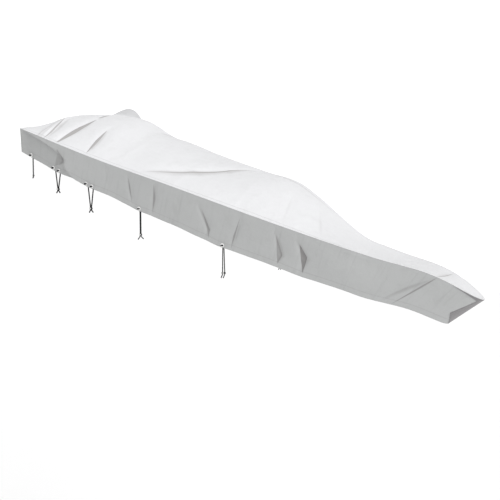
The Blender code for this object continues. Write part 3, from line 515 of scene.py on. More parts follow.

# How strongly dirt, dust and painted shade cover the cloth.
CREASE_DUST_AND_SHADE = 0.42
GRIME = 0.10
HEM_LINE_DUST = 0.30
MARK_CRISP = 0.0022           # half the width of a crease mark's soft edge
MARK_END = 0.12               # share of a mark over which it fades in at each end
# Painted shade on the hump and in the side skirts' drawn-in aft ends, as shares taken off the colour.
HUMP_SHADE = 0.24
TUCK_SHADE = 0.13
TUCK_SHADE_EDGE = 0.035
HUMP_SHADE_EDGE = 0.35
HUMP_SHADE_INNER = (-0.02, 0.10)      # y at which the hump's shade starts, and how fast it grows
HUMP_SHADE_OUTER = (0.08, 0.12)       # how far past the hump's crown it stops, and how fast

# Where a noise or a distance starts to show and where it shows fully.
STREAK_RANGE = (0.52, 0.75)
CREASE_DUST_SHADE_RANGE = (0.12, 0.95)
GRIME_RANGE = (0.48, 0.72)
SCUFF_RANGE = (0.50, 0.74)
HEM_LINE_RANGE = (0.0008, 0.0035)
HEM_STEP_RANGE = (-0.0012, 0.0010)

BRAID_PITCH = 0.0052
BRAID_STRANDS = 6.0


def new_material(name):
    """A named material with its node tree and its shader."""
    material = bpy.data.materials.new(name)
    material.use_nodes = True
    tree = material.node_tree
    shader = tree.nodes["Principled BSDF"]
    return material, tree, shader


def add_node(tree, kind, **values):
    """A shader node with its settings and input values."""
    node = tree.nodes.new(kind)
    for key, value in values.items():
        if hasattr(node, key):
            setattr(node, key, value)
        else:
            node.inputs[key.replace("_", " ")].default_value = value
    return node


def math_node(tree, operation, first, second=None, third=None):
    """A math node; each value is a number or a socket."""
    node = tree.nodes.new("ShaderNodeMath")
    node.operation = operation
    for number, value in enumerate((first, second, third)):
        if value is None:
            continue
        if isinstance(value, (int, float)):
            node.inputs[number].default_value = value
        else:
            tree.links.new(value, node.inputs[number])
    return node.outputs[0]


def layered(tree, *layers):
    """The sum of several values, each with a factor and, where given, an offset."""
    total = None
    for value, factor, *offset in layers:
        part = math_node(tree, "MULTIPLY_ADD", value, factor, *(offset or [0.0]))
        total = part if total is None else math_node(tree, "ADD", total, part)
    return total


def mix_color(tree, share, first, second, blend="MIX"):
    """Blend two colours; each is a tuple or a socket."""
    node = tree.nodes.new("ShaderNodeMix")
    node.data_type = "RGBA"
    node.blend_type = blend
    for socket, value in ((node.inputs[0], share), (node.inputs[6], first), (node.inputs[7], second)):
        if isinstance(value, tuple):
            socket.default_value = (*value, 1.0)
        elif isinstance(value, (int, float)):
            socket.default_value = value
        else:
            tree.links.new(value, socket)
    return node.outputs[2]


def ramp(tree, value, low, high):
    """0 below low and 1 above high, with a smooth step between."""
    node = tree.nodes.new("ShaderNodeMapRange")
    node.interpolation_type = "SMOOTHSTEP"
    node.inputs["From Min"].default_value = low
    node.inputs["From Max"].default_value = high
    tree.links.new(value, node.inputs["Value"])
    return node.outputs["Result"]


def noise_at(tree, vector, scale, detail, rough):
    """A noise value from 0 to 1."""
    node = tree.nodes.new("ShaderNodeTexNoise")
    node.inputs["Scale"].default_value = scale
    node.inputs["Detail"].default_value = detail
    node.inputs["Roughness"].default_value = rough
    tree.links.new(vector, node.inputs["Vector"])
    return node.outputs["Fac"]


def stretched(tree, vector, across, along):
    """A flat place on the cloth with its two directions scaled."""
    node = add_node(tree, "ShaderNodeMapping")
    node.inputs["Scale"].default_value = (across, along, 1.0)
    tree.links.new(vector, node.inputs["Vector"])
    return node.outputs["Vector"]


def add_bump(tree, shader, height, strength=1.0):
    """Fine relief from a height in metres."""
    bump = tree.nodes.new("ShaderNodeBump")
    bump.inputs["Strength"].default_value = strength
    bump.inputs["Distance"].default_value = 1.0
    tree.links.new(height, bump.inputs["Height"])
    tree.links.new(bump.outputs["Normal"], shader.inputs["Normal"])


def object_place(tree):
    """The place on the object, as a socket."""
    return tree.nodes.new("ShaderNodeTexCoord").outputs["Object"]


def mark_group():
    """A shader group that gives how dark one crease mark's painted shade is, and its relief, at a place."""
    tree = bpy.data.node_groups.new("crease_mark", "ShaderNodeTree")
    for name in ("Along", "Away", "Low", "High", "Peak", "Round", "Dark"):
        tree.interface.new_socket(name, in_out="INPUT", socket_type="NodeSocketFloat")
    for name in ("Shade", "Relief"):
        tree.interface.new_socket(name, in_out="OUTPUT", socket_type="NodeSocketFloat")
    given = tree.nodes.new("NodeGroupInput").outputs
    result = tree.nodes.new("NodeGroupOutput").inputs
    before = math_node(tree, "DIVIDE", given["Along"], given["Peak"])
    after = math_node(tree, "DIVIDE", math_node(tree, "SUBTRACT", 1.0, given["Along"]),
                      math_node(tree, "SUBTRACT", 1.0, given["Peak"]))
    rise = math_node(tree, "MAXIMUM", math_node(tree, "MINIMUM", before, after), 0.0)
    fuller = math_node(tree, "MULTIPLY_ADD", math_node(tree, "SUBTRACT", 1.0, rise), given["Round"], 1.0)
    swell = math_node(tree, "MULTIPLY", rise, fuller)
    over = math_node(tree, "SUBTRACT", given["Away"], math_node(tree, "MULTIPLY", given["Low"], swell))
    under = math_node(tree, "SUBTRACT", math_node(tree, "MULTIPLY", given["High"], swell), given["Away"])
    inside = ramp(tree, math_node(tree, "MINIMUM", over, under), -MARK_CRISP, MARK_CRISP)
    inside = math_node(tree, "MULTIPLY", inside, ramp(tree, rise, 0.0, MARK_END))
    tree.links.new(math_node(tree, "MULTIPLY", inside, given["Dark"]), result["Shade"])
    tree.links.new(math_node(tree, "MULTIPLY", inside, over), result["Relief"])
    return tree


MARK_GROUP = mark_group()


def marks_at(tree, first, second, marks, origin):
    """The painted shade and relief of all marks at a place given by two coordinates."""
    shade = 0.0
    relief = 0.0
    for mark in marks:
        ax, ay = np.array(mark.start) - origin
        dx, dy = np.subtract(mark.end, mark.start)
        size = math.hypot(dx, dy)
        node = tree.nodes.new("ShaderNodeGroup")
        node.node_tree = MARK_GROUP
        rows = (("Along", dx / size**2, dy / size**2), ("Away", -dy / size, dx / size))
        for socket, kx, ky in rows:
            part = math_node(tree, "MULTIPLY_ADD", second, float(ky), float(-ax * kx - ay * ky))
            tree.links.new(math_node(tree, "MULTIPLY_ADD", first, float(kx), part), node.inputs[socket])
        for socket, value in (("Low", mark.low), ("High", mark.high), ("Peak", mark.peak),
                              ("Round", mark.round), ("Dark", mark.dark)):
            node.inputs[socket].default_value = value
        shade = math_node(tree, "MAXIMUM", node.outputs["Shade"], shade)
        relief = math_node(tree, "ADD", node.outputs["Relief"], relief)
    return shade, relief


def cloth_material(name, color, dirt_and_shade, roughness, streaks, hem_width, marks=(), across="X", up="Y"):
    """Woven coated cloth: fine weave, faint slubs, dust and painted shade in the creases, painted crease
    marks and worn hem lines.
    """
    material, tree, shader = new_material(name)
    link = tree.links.new
    place = object_place(tree)
    parts = tree.nodes.new("ShaderNodeSeparateXYZ")
    link(place, parts.inputs[0])
    origin = np.array([MOUNT["XYZ".index(across)], MOUNT["XYZ".index(up)]])
    painted_crease_shade, relief = marks_at(tree, parts.outputs[across], parts.outputs[up], marks, origin)
    flat = add_node(tree, "ShaderNodeUVMap", uv_map="weave").outputs["UV"]
    shade, crease, edge = (
        add_node(tree, "ShaderNodeAttribute", attribute_name=field).outputs["Fac"]
        for field in ("shade", "crease", "edge")
    )

    blotch = noise_at(tree, place, *BLOTCHES)
    slub = math_node(
        tree, "ADD",
        noise_at(tree, stretched(tree, flat, 1.0, SLUB_STRETCH), *SLUBS),
        noise_at(tree, stretched(tree, flat, SLUB_STRETCH, 1.0), *SLUBS),
    )
    tone = layered(
        tree, (noise_at(tree, place, *BROAD_TONE), 0.10, 0.95), (blotch, 0.06, -0.03), (slub, 0.05, -0.05))
    if streaks:
        runs = noise_at(tree, stretched(tree, flat, 1.0, STREAK_STRETCH), *STREAKS)
        streak = math_node(tree, "MULTIPLY", ramp(tree, runs, *STREAK_RANGE), streaks)
        tone = math_node(tree, "SUBTRACT", tone, streak)
    # The shade field paints shade into the colour, on the hump and in each side skirt's drawn-in aft end.
    tone = math_node(tree, "MULTIPLY", tone, math_node(tree, "SUBTRACT", 1.0, shade))
    # Creases darken with dust and with painted shade, in one mix towards the dirt-and-shade colour.
    crease_dust_and_shade = math_node(tree, "MULTIPLY", ramp(tree, crease, *CREASE_DUST_SHADE_RANGE), CREASE_DUST_AND_SHADE)
    grime = math_node(tree, "MULTIPLY", ramp(tree, blotch, *GRIME_RANGE), GRIME)
    cover = math_node(tree, "MINIMUM", math_node(tree, "ADD", crease_dust_and_shade, grime), 1.0)
    fold_line = math_node(tree, "SUBTRACT", edge, hem_width)
    beside = ramp(tree, math_node(tree, "ABSOLUTE", fold_line), *HEM_LINE_RANGE)
    hem_line = math_node(tree, "MULTIPLY", math_node(tree, "SUBTRACT", 1.0, beside), HEM_LINE_DUST)
    shaded = mix_color(tree, 1.0, color, tone, "MULTIPLY")
    # Crease dust with painted shade, worn hem lines and the painted crease marks each mix the colour towards
    # the dirt-and-shade colour.
    for share in (cover, hem_line, painted_crease_shade):
        shaded = mix_color(tree, share, shaded, dirt_and_shade)
    link(shaded, shader.inputs["Base Color"])

    link(math_node(tree, "MULTIPLY_ADD", blotch, 0.16, roughness - 0.08), shader.inputs["Roughness"])
    shader.inputs["Sheen Weight"].default_value = 0.18
    shader.inputs["Sheen Roughness"].default_value = 0.5
    shader.inputs["Specular IOR Level"].default_value = 0.32

    threads = []
    for way in "XY":
        wave = add_node(tree, "ShaderNodeTexWave", bands_direction=way, Scale=WEAVE_SCALE)
        link(flat, wave.inputs["Vector"])
        threads.append(wave.outputs["Fac"])
    hem = math_node(tree, "SUBTRACT", 1.0, ramp(tree, fold_line, *HEM_STEP_RANGE))
    height = layered(
        tree,
        (math_node(tree, "MULTIPLY", *threads), WEAVE_RELIEF),
        (slub, SLUB_RELIEF),
        (hem, HEM_RELIEF),
        (noise_at(tree, place, *WRINKLES), WRINKLE_RELIEF),
        (noise_at(tree, place, *FINE_WRINKLES), FINE_RELIEF),
        (relief, MARK_RELIEF),
    )
    add_bump(tree, shader, height, CLOTH_BUMP)
    return material


def braid_material():
    """Black braided cord with a faint sheen."""
    material, tree, shader = new_material("black_braid")
    parts = tree.nodes.new("ShaderNodeSeparateXYZ")
    tree.links.new(add_node(tree, "ShaderNodeUVMap", uv_map="weave").outputs["UV"], parts.inputs[0])
    along = math_node(tree, "MULTIPLY", parts.outputs["X"], 2.0 * math.pi / BRAID_PITCH)
    around = math_node(tree, "MULTIPLY", parts.outputs["Y"], 2.0 * math.pi * BRAID_STRANDS)
    first, second = (
        math_node(tree, "SINE", math_node(tree, way, along, around)) for way in ("ADD", "SUBTRACT"))
    strands = math_node(tree, "MULTIPLY", first, second)
    fuzz = noise_at(tree, object_place(tree), *BRAID_FUZZ)
    tone = layered(tree, (strands, 0.25, 0.5), (fuzz, 0.4, -0.2))
    color = mix_color(tree, tone, (0.004, 0.004, 0.005), (0.018, 0.018, 0.020))
    tree.links.new(color, shader.inputs["Base Color"])
    shader.inputs["Roughness"].default_value = 0.72
    shader.inputs["Specular IOR Level"].default_value = 0.22
    shader.inputs["Sheen Weight"].default_value = 0.06
    add_bump(tree, shader, layered(tree, (strands, 0.0003), (fuzz, 0.00015)))
    return material


def moulded_material(name, color, worn, roughness, coat):
    """Moulded plastic or rubber with fine grain, scuffs and cloudy wear."""
    material, tree, shader = new_material(name)
    place = object_place(tree)
    scuff = ramp(tree, noise_at(tree, place, *SCUFFS), *SCUFF_RANGE)
    cloud = noise_at(tree, place, *CLOUDS)
    tone = mix_color(tree, math_node(tree, "MULTIPLY", scuff, 0.45), color, worn)
    tone = mix_color(tree, math_node(tree, "MULTIPLY", cloud, 0.25), tone, worn)
    tree.links.new(tone, shader.inputs["Base Color"])
    tree.links.new(math_node(tree, "MULTIPLY_ADD", scuff, 0.25, roughness), shader.inputs["Roughness"])
    shader.inputs["Coat Weight"].default_value = coat
    shader.inputs["Coat Roughness"].default_value = 0.25
    grain = noise_at(tree, place, *MOULD_GRAIN)
    add_bump(tree, shader, layered(tree, (grain, 0.00008), (scuff, -0.00008)))
    return material


def thread_material(name, color):
    """Twisted sewing thread."""
    material, tree, shader = new_material(name)
    tone = noise_at(tree, object_place(tree), *THREAD_TWIST)
    shade = tuple(0.6 * value for value in color)
    tree.links.new(mix_color(tree, tone, shade, color), shader.inputs["Base Color"])
    shader.inputs["Roughness"].default_value = 0.6
    shader.inputs["Sheen Weight"].default_value = 0.3
    return material


SIDES = {-1: "starboard", 1: "port"}
TOP_HEM = 0.024
SKIRT_HEM = 0.058
PATCH_HEM = 0.012
# The skirt's grey is the top's silver cloth darkened with painted shade for its upright faces.
SKIRT_SHADED_GREY = (0.398, 0.404, 0.403)
SKIRT_DIRT_AND_SHADE = (0.215, 0.210, 0.208)
# Each cloth's second colour is both its dirt and the painted shade of its creases.
top_cloth = cloth_material(
    "silver_top_cloth", (0.745, 0.747, 0.760), (0.400, 0.388, 0.385),
    roughness=0.60, streaks=0.0, hem_width=TOP_HEM, marks=TOP_MARKS)
# The bow patch's dark grey is painted shade where the cloth turns round the stem.
stem_shade_cloth = cloth_material(
    "dark_patch_cloth", (0.205, 0.197, 0.202), (0.11, 0.105, 0.105),
    roughness=0.62, streaks=0.0, hem_width=PATCH_HEM)


def skirt_cloth(name, marks, across):
    """The skirt's grey cloth for one length, darker than the top's silver as painted shade on the upright
    sides.
    """
    return cloth_material(
        "grey_cloth_" + name, SKIRT_SHADED_GREY, SKIRT_DIRT_AND_SHADE,
        roughness=0.66, streaks=0.08, hem_width=SKIRT_HEM, marks=marks, across=across, up="Z")


skirt_cloths = {side: skirt_cloth(name, SIDE_MARKS[side], "X") for side, name in SIDES.items()}
stern_cloth = skirt_cloth("stern", STERN_MARKS, "Y")
braid = braid_material()
eyelet_shell = moulded_material(
    "pale_eyelet_plastic", (0.80, 0.80, 0.79), (0.52, 0.51, 0.49), roughness=0.30, coat=0.35)
pale_plastic = moulded_material(
    "pale_stud_plastic", (0.72, 0.72, 0.70), (0.50, 0.49, 0.47), roughness=0.38, coat=0.15)
black_rubber = moulded_material(
    "black_rubber", (0.014, 0.014, 0.015), (0.045, 0.045, 0.045), roughness=0.60, coat=0.0)
top_thread = thread_material("pale_thread", (0.50, 0.50, 0.51))
skirt_thread = thread_material("grey_thread", (0.26, 0.26, 0.27))
patch_thread = thread_material("dark_thread", (0.14, 0.135, 0.14))


# ------------------------------------------------------------------ cloth meshes
EVEN_ROWS_END = 5.2
EVEN_ROWS = 340
BOW_ROWS = 40
TOP_COLUMNS = 124
SKIRT_COLUMNS = 56
STERN_ROWS = 130
CLOTH_SHOWN = 0.0024
PATCH_SHOWN = 0.0018
RIM_ROUND = 0.35              # how far the cut edge bulges, in thicknesses

# Gathers beside a seam or hem: middle and width of the band, and where and how fast it starts.
RIM_BAND = (0.050, 0.045, 0.0, 0.012)
SEAM_BAND = (0.045, 0.050, 0.0, 0.014)
HEM_BAND = (0.075, 0.050, 0.050, 0.020)
PORT_SHIFT = 11.3             # keeps one side's gathers unlike the other's
PORT_SKIRT_SHIFT = 20.0
STERN_SHIFT = 40.0

# Gathers: height, seed and spacing.
TOP_GATHERS = (0.0022, 1.3, 0.085)
SEAM_GATHERS = (0.0022, 2.2, 0.075)
HEM_GATHERS = (0.0018, 4.1, 0.090)
STERN_SEAM_GATHERS = (0.0020, 3.0, 0.080)
STERN_HEM_GATHERS = (0.0016, 5.0, 0.090)

# Slack: height, scale and seed.
TOP_SLACK = (0.0045, 2.3, 1.0)
TOP_CRUMPLE = (0.0016, 7.5, 2.0)
TOP_SLACK_FADE = 0.05
SKIRT_SLACK = (0.0050, 3.1, 3.0)
SKIRT_CRUMPLE = (0.0014, 11.0, 4.0)
SKIRT_SLACK_FADE = 0.06
STERN_SLACK = (0.0040, 3.0, 6.0)

UP = (0.0, 0.0, 1.0)
ASTERN = (-1.0, 0.0, 0.0)
TOP_OUTLINE_POINTS = 1600
ROW_OUTLINE_POINTS = 2400
GUNWALE_POINTS = 6000


def hull_stations():
    """Stations from the transom to the bow tip, even and then closing up round the stem."""
    even = np.linspace(0.0, EVEN_ROWS_END, EVEN_ROWS, endpoint=False)
    turn = np.append(np.arange(BOW_ROWS) / BOW_ROWS, 1.0 - 0.3 / BOW_ROWS)
    return np.append(even, EVEN_ROWS_END + (LENGTH - EVEN_ROWS_END) * np.sin(0.5 * np.pi * turn))


def unit(vectors, least=1e-12):
    """Vectors of length 1, left at nothing where they have no length."""
    return vectors / np.maximum(np.linalg.norm(vectors, axis=-1, keepdims=True), least)


def run_along(points):
    """Distance from the first point to each point of a line."""
    return np.append(0.0, np.cumsum(np.linalg.norm(np.diff(points, axis=0), axis=1)))


def even_points(line, spacing):
    """A flat line's points set at even distances."""
    run = run_along(line)
    even = np.linspace(0.0, run[-1], int(run[-1] / spacing))
    return np.stack([np.interp(even, run, line[:, k]) for k in (0, 1)], -1)


def grid_area(points):
    """Area of a grid of points."""
    corner = points[:-1, :-1]
    across = np.cross(points[1:, :-1] - corner, points[:-1, 1:] - corner)
    return float(np.linalg.norm(across, axis=-1).sum())


def grid_normals(points, outward):
    """Unit normals of a grid of points, on the side of the outward direction."""
    normals = unit(np.cross(np.gradient(points, axis=0), np.gradient(points, axis=1)))
    normals[(normals * outward).sum(-1) < 0.0] *= -1.0
    return normals


def cloth_object(name, points, normals, thickness, flat, fields, material):
    """A closed sheet with a rounded rim from a grid of outer points and their normals."""
    rows, columns = points.shape[:2]
    count = rows * columns
    inner = points - thickness * normals
    index = np.arange(count).reshape(rows, columns)
    loop = np.concatenate([index[0, :-1], index[:-1, -1], index[-1, :0:-1], index[:0:-1, 0]])
    inward = np.concatenate([index[1, :-1], index[:-1, -2], index[-2, :0:-1], index[:0:-1, 1]])
    outer_flat = points.reshape(-1, 3)
    normal_flat = normals.reshape(-1, 3)
    away = unit(outer_flat[loop] - outer_flat[inward], 1e-9)
    rim = outer_flat[loop] - 0.5 * thickness * normal_flat[loop] + RIM_ROUND * thickness * away
    vertices = np.concatenate([outer_flat, inner.reshape(-1, 3), rim])
    a, b, c, d = (
        corner.ravel() for corner in (index[:-1, :-1], index[1:, :-1], index[1:, 1:], index[:-1, 1:]))
    ring = np.arange(len(loop)) + 2 * count
    after = np.roll(np.arange(len(loop)), -1)
    faces = np.concatenate([
        np.stack([a, b, c, d], 1),
        np.stack([a, d, c, b], 1) + count,
        np.stack([loop, loop[after], ring[after], ring], 1),
        np.stack([ring, ring[after], loop[after] + count, loop + count], 1),
    ])
    mesh = bpy.data.meshes.new(name)
    mesh.from_pydata(vertices.tolist(), [], faces.tolist())
    flat_all = np.concatenate([flat.reshape(-1, 2)] * 2 + [flat.reshape(-1, 2)[loop]])
    corner = np.zeros(len(mesh.loops), np.int32)
    mesh.loops.foreach_get("vertex_index", corner)
    layer = mesh.uv_layers.new(name="weave")
    layer.data.foreach_set("uv", flat_all[corner].ravel())
    for field, values in fields.items():
        values = values.ravel()
        values = np.concatenate([values, values, values[loop]])
        store = mesh.attributes.new(field, "FLOAT", "POINT")
        store.data.foreach_set("value", values.astype(np.float32))
    mesh.materials.append(material)
    mesh.polygons.foreach_set("use_smooth", np.ones(len(mesh.polygons), bool))
    build = bmesh.new()
    build.from_mesh(mesh)
    if build.calc_volume(signed=True) < 0.0:
        bmesh.ops.reverse_faces(build, faces=build.faces)
    build.to_mesh(mesh)
    build.free()
    mesh.update()
    return in_scene(name, mesh)


def outline_line(count):
    """Points of the port gunwale seen from above, from the transom to the stem."""
    turn = np.linspace(0.0, 1.0, count)
    ahead = WIDEST_X + (LENGTH - WIDEST_X) * np.sin(np.pi * (turn - 0.5))
    x = np.where(turn < 0.5, 2.0 * turn * WIDEST_X, ahead)
    return np.stack([x, half_breadth(x)], 1)


def rim_distance(x, y):
    """Distance in plan from the rim, over the sides and the transom."""
    line = outline_line(TOP_OUTLINE_POINTS)
    tree = kdtree.KDTree(len(line))
    for number, (px, py) in enumerate(line):
        tree.insert((px, py, 0.0), number)
    tree.balance()
    near = np.array([tree.find((px, abs(py), 0.0))[2] for px, py in zip(x.ravel(), y.ravel())])
    return np.minimum(near.reshape(x.shape), x)


def hump_shade(x, y):
    """Painted shade that darkens the hump's inner face and crown."""
    hx, hy, _height, hl, hw = HUMP
    away = np.sqrt(((x - hx) / hl) ** 2 + ((y - hy) / hw) ** 2)
    inner = ease((y - HUMP_SHADE_INNER[0]) / HUMP_SHADE_INNER[1])
    outer = ease((hy + HUMP_SHADE_OUTER[0] - y) / HUMP_SHADE_OUTER[1])
    return HUMP_SHADE * ease((1.0 - away) / HUMP_SHADE_EDGE) * inner * outer


def top_panel():
    """The silver top, with its folds, gathers along the rim and slight slack."""
    share = np.linspace(-1.0, 1.0, TOP_COLUMNS + 1)
    share = 0.6 * share + 0.4 * np.sin(0.5 * np.pi * share)
    x, v = np.meshgrid(hull_stations(), share, indexing="ij")
    y = v * half_breadth(x)
    z, crease = top_height(x, v)
    edge = rim_distance(x, y)
    points = np.stack([x, y, z], -1)
    slack = slackness(points, *TOP_SLACK) + slackness(points, *TOP_CRUMPLE)
    along = np.where(y > 0.0, x + PORT_SHIFT, x)
    uneven = 0.55 + 0.45 * np.sin(2.1 * along + 0.7)
    z += slack * ease(edge / TOP_SLACK_FADE) + gathers(edge, RIM_BAND, along, *TOP_GATHERS) * uneven
    points = np.stack([x, y, z], -1) - MOUNT
    step = np.linalg.norm(np.diff(points, axis=1), axis=-1)
    run = np.concatenate([np.zeros((len(x), 1)), np.cumsum(step, axis=1)], 1)
    run -= run[:, TOP_COLUMNS // 2:TOP_COLUMNS // 2 + 1]
    flat = np.stack([x, run], -1)
    wear_and_shade = {"crease": crease, "edge": edge, "shade": hump_shade(x, y)}
    normals = grid_normals(points, UP)
    item = cloth_object("cover_top", points, normals, CLOTH_SHOWN, flat, wear_and_shade, top_cloth)
    return item, grid_area(points)


cover_top, top_area = top_panel()
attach(cover_top, "root")
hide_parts("top_panel")


# ------------------------------------------------------------------ eyelets, read from the frame
Seat = namedtuple("Seat", "centre axis")
EYELET_TOP = 0.0038


def eyelet_seat(node, side):
    """Centre and outward axis of an eyelet, from its solid's symmetry."""
    points = np.array([vertex.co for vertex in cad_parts[node].data.vertices], float)
    points = np.unique(np.round(points, 6), axis=0)
    middle = points.mean(0)
    axis = np.linalg.svd(points - middle)[2][2]
    if axis[1] * side < 0.0:
        axis = -axis
    top = ((points - middle) @ axis).max()
    return Seat(middle + axis * (top - EYELET_TOP), axis)


def tie_seats(tie, side):
    """Seats of a tie's one or two eyelets."""
    suffix = SIDES[side]
    letters = ("a", "b") if f"{tie.name}_eyeleta_{suffix}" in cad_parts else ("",)
    return [eyelet_seat(f"{tie.name}_eyelet{letter}_{suffix}", side) for letter in letters]


SEATS = {(tie.name, side): tie_seats(tie, side) for tie in TIES for side in SIDES}


# ------------------------------------------------------------------ skirts
CLOTH_HOLE = 0.0145
CUTTER_SIDES = 48
CUTTER_LENGTH = 0.030
CORNER_EASE = 0.02
CORNER_GAP = 0.0002
SEAM_REACH = 0.030            # how far down the skirt's upper edge is drawn up to the top's rim
SEAM_DOWN = 0.0013            # how far the sewn edge lies under the rim's outer edge
SEAM_IN = 0.0013
SKIRT_STEM_CLEAR = 0.30
SKIRT_CORNER_FADE = 0.10

# Round an eyelet the cloth lies flat under the flange and is gathered beyond it.
SEAT_DEPTH = 0.06
SEAT_RADIUS = 0.16
SEAT_FLAT = (0.026, 0.045)
GATHER_START = (0.023, 0.020)
GATHER_REACH = (0.075, 0.035)
GATHER_HEIGHT = 0.0026


def arc_length(stations):
    """Distance round the gunwale from the transom corner at each station."""
    x = LENGTH * np.sin(0.5 * np.pi * np.linspace(0.0, 1.0, GUNWALE_POINTS))
    return np.interp(stations, x, run_along(np.stack([x, half_breadth(x)], -1)))


def settle_on_seats(points, seats):
    """Draw the cloth flat under each eyelet and gather it round the flange."""
    for seat in seats:
        offset = points - seat.centre
        height = offset @ seat.axis
        radial = offset - height[..., None] * seat.axis
        radius = np.linalg.norm(radial, axis=-1)
        side_way = unit(np.cross(seat.axis, UP))
        up_way = np.cross(side_way, seat.axis)
        angle = np.arctan2(radial @ up_way, radial @ side_way)
        near = (np.abs(height) < SEAT_DEPTH) & (radius < SEAT_RADIUS)
        flat = np.where(near, 1.0 - ease((radius - SEAT_FLAT[0]) / SEAT_FLAT[1]), 0.0)
        lines = 0.6 * np.sin(9.0 * angle + 1.3 * seat.centre[0] * 10.0) + 0.4 * np.sin(5.0 * angle + 2.0)
        reach = GATHER_REACH[0] + GATHER_REACH[1] * np.sin(2.0 * angle + seat.centre[0] * 7.0)
        start = ease((radius - GATHER_START[0]) / GATHER_START[1])
        pull = np.where(near, start * np.exp(-((radius / reach) ** 2)), 0.0)
        upward = 0.35 + 0.65 * ease(0.5 + 0.6 * np.sin(angle))
        points = points - (flat * height)[..., None] * seat.axis
        points = points + (GATHER_HEIGHT * lines * pull * upward)[..., None] * seat.axis
    return points


def cut_round_seats(item, seats):
    """Cut the eyelet holes through the cloth."""
    build = bmesh.new()
    for seat in seats:
        turn = Vector(seat.axis).to_track_quat("Z", "Y").to_matrix().to_4x4()
        bmesh.ops.create_cone(
            build, cap_ends=True, segments=CUTTER_SIDES, radius1=CLOTH_HOLE, radius2=CLOTH_HOLE,
            depth=CUTTER_LENGTH, matrix=Matrix.Translation(Vector(seat.centre)) @ turn,
        )
    mesh = bpy.data.meshes.new("holes")
    build.to_mesh(mesh)
    build.free()
    cutter = in_scene("holes", mesh)
    cut = item.modifiers.new("eyelet_holes", "BOOLEAN")
    cut.operation = "DIFFERENCE"
    cut.solver = "EXACT"
    cut.object = cutter
    view = bpy.context.evaluated_depsgraph_get()
    result = bpy.data.meshes.new_from_object(item.evaluated_get(view))
    item.modifiers.clear()
    item.data = result
    bpy.data.objects.remove(cutter, do_unlink=True)


def tuck_shade(x, t):
    """Painted shade in the drawn-in aft end of a side skirt."""
    return TUCK_SHADE * ease((tuck_edge(t) - x) / TUCK_SHADE_EDGE)


def side_skirt(side):
    """One side of the skirt from the stern corner to the stem."""
    stations = np.append(hull_stations(), LENGTH)
    x, t = np.meshgrid(stations, np.linspace(0.0, 1.0, SKIRT_COLUMNS + 1), indexing="ij")
    points, crease = skirt_surface(x, t, side, np.zeros(x.shape))
    nx, ny = outline_normal(x)
    out = np.stack([nx, side * ny, np.zeros(x.shape)], -1)
    drop = skirt_drop(x)
    down = t * drop
    edge = (1.0 - t) * drop
    upper = 1.0 - ease(down / SEAM_REACH)
    points[..., 0] += (CLOTH_SHOWN + CORNER_GAP) * np.maximum(1.0 - x / CORNER_EASE, 0.0)
    points[..., 2] += (rim_slope(x) + SEAM_GAP - SEAM_DOWN) * upper
    points = points - (SEAM_IN * upper)[..., None] * out

    along = arc_length(stations)[:, None] + np.zeros(x.shape) + (PORT_SKIRT_SHIFT if side > 0 else 0.0)
    slack = slackness(points * (1.0, 1.0, 1.6), *SKIRT_SLACK) + slackness(points, *SKIRT_CRUMPLE)
    ripple = gathers(down, SEAM_BAND, along, *SEAM_GATHERS) * (0.6 + 0.4 * np.sin(1.7 * along))
    ripple += gathers(edge, HEM_BAND, along, *HEM_GATHERS) * (0.6 + 0.4 * np.sin(2.3 * along + 1.0))
    fade = ease((LENGTH - SKIRT_STEM_CLEAR - x) / STEM_FADE) * ease(x / SKIRT_CORNER_FADE)
    points = points + ((slack * ease(down / SKIRT_SLACK_FADE) + ripple) * fade)[..., None] * out
    points[..., 1] = side * np.maximum(side * points[..., 1], STEM_GAP)

    seats = [seat for tie in TIES for seat in SEATS[tie.name, side]]
    points = settle_on_seats(points - MOUNT, seats)
    flat = np.stack([along, down], -1)
    wear_and_shade = {"crease": crease, "edge": edge, "shade": tuck_shade(x, t)}
    normals = grid_normals(points, out)
    item = cloth_object(
        "cover_skirt_" + SIDES[side], points, normals, CLOTH_SHOWN, flat, wear_and_shade, skirt_cloths[side])
    cut_round_seats(item, seats)
    return item


def stern_surface(v, t):
    """Points across the transom without folds, and the height from gunwale to hem."""
    zero = np.zeros(v.shape)
    drop = skirt_drop(zero)
    top = top_height(zero, v, False)[0] - SEAM_DOWN
    bottom = sheer(zero) - drop
    y = v * (half_breadth(zero) - SKIRT_LEAN * drop * t)
    return np.stack([STERN_RAKE * t, y, top + (bottom - top) * t], -1), top - bottom


def stern_skirt():
    """The skirt across the transom."""
    v, t = np.meshgrid(
        np.linspace(-1.0, 1.0, STERN_ROWS), np.linspace(0.0, 1.0, SKIRT_COLUMNS + 1), indexing="ij")
    points, tall = stern_surface(v, t)
    y = points[..., 1]
    down = t * tall
    edge = (1.0 - t) * tall
    fade = ease((1.0 - np.abs(v)) / CORNER_FADE) * ease(t / SEAM_FADE)
    height, crease = fold_field(y, FOLD_SCALE * t, folds_in_metres(STERN_FOLDS))
    along = y + STERN_SHIFT
    ripple = gathers(down, SEAM_BAND, along, *STERN_SEAM_GATHERS)
    ripple += gathers(edge, HEM_BAND, along, *STERN_HEM_GATHERS)
    slack = slackness(np.stack([y, np.zeros(v.shape), 1.5 * t], -1), *STERN_SLACK)
    points[..., 0] += SEAM_IN * (1.0 - ease(down / SEAM_REACH)) - fade * (height + ripple + slack)
    points = points - MOUNT
    flat = np.stack([along, down], -1)
    wear_and_shade = {"crease": crease * fade, "edge": edge}
    normals = grid_normals(points, ASTERN)
    return cloth_object("cover_skirt_stern", points, normals, CLOTH_SHOWN, flat, wear_and_shade, stern_cloth)


skirts = {side: side_skirt(side) for side in SIDES}
stern = stern_skirt()
for side, item in skirts.items():
    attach(item, "root")
    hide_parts("skirt_" + SIDES[side])
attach(stern, "root")
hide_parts("skirt_stern")

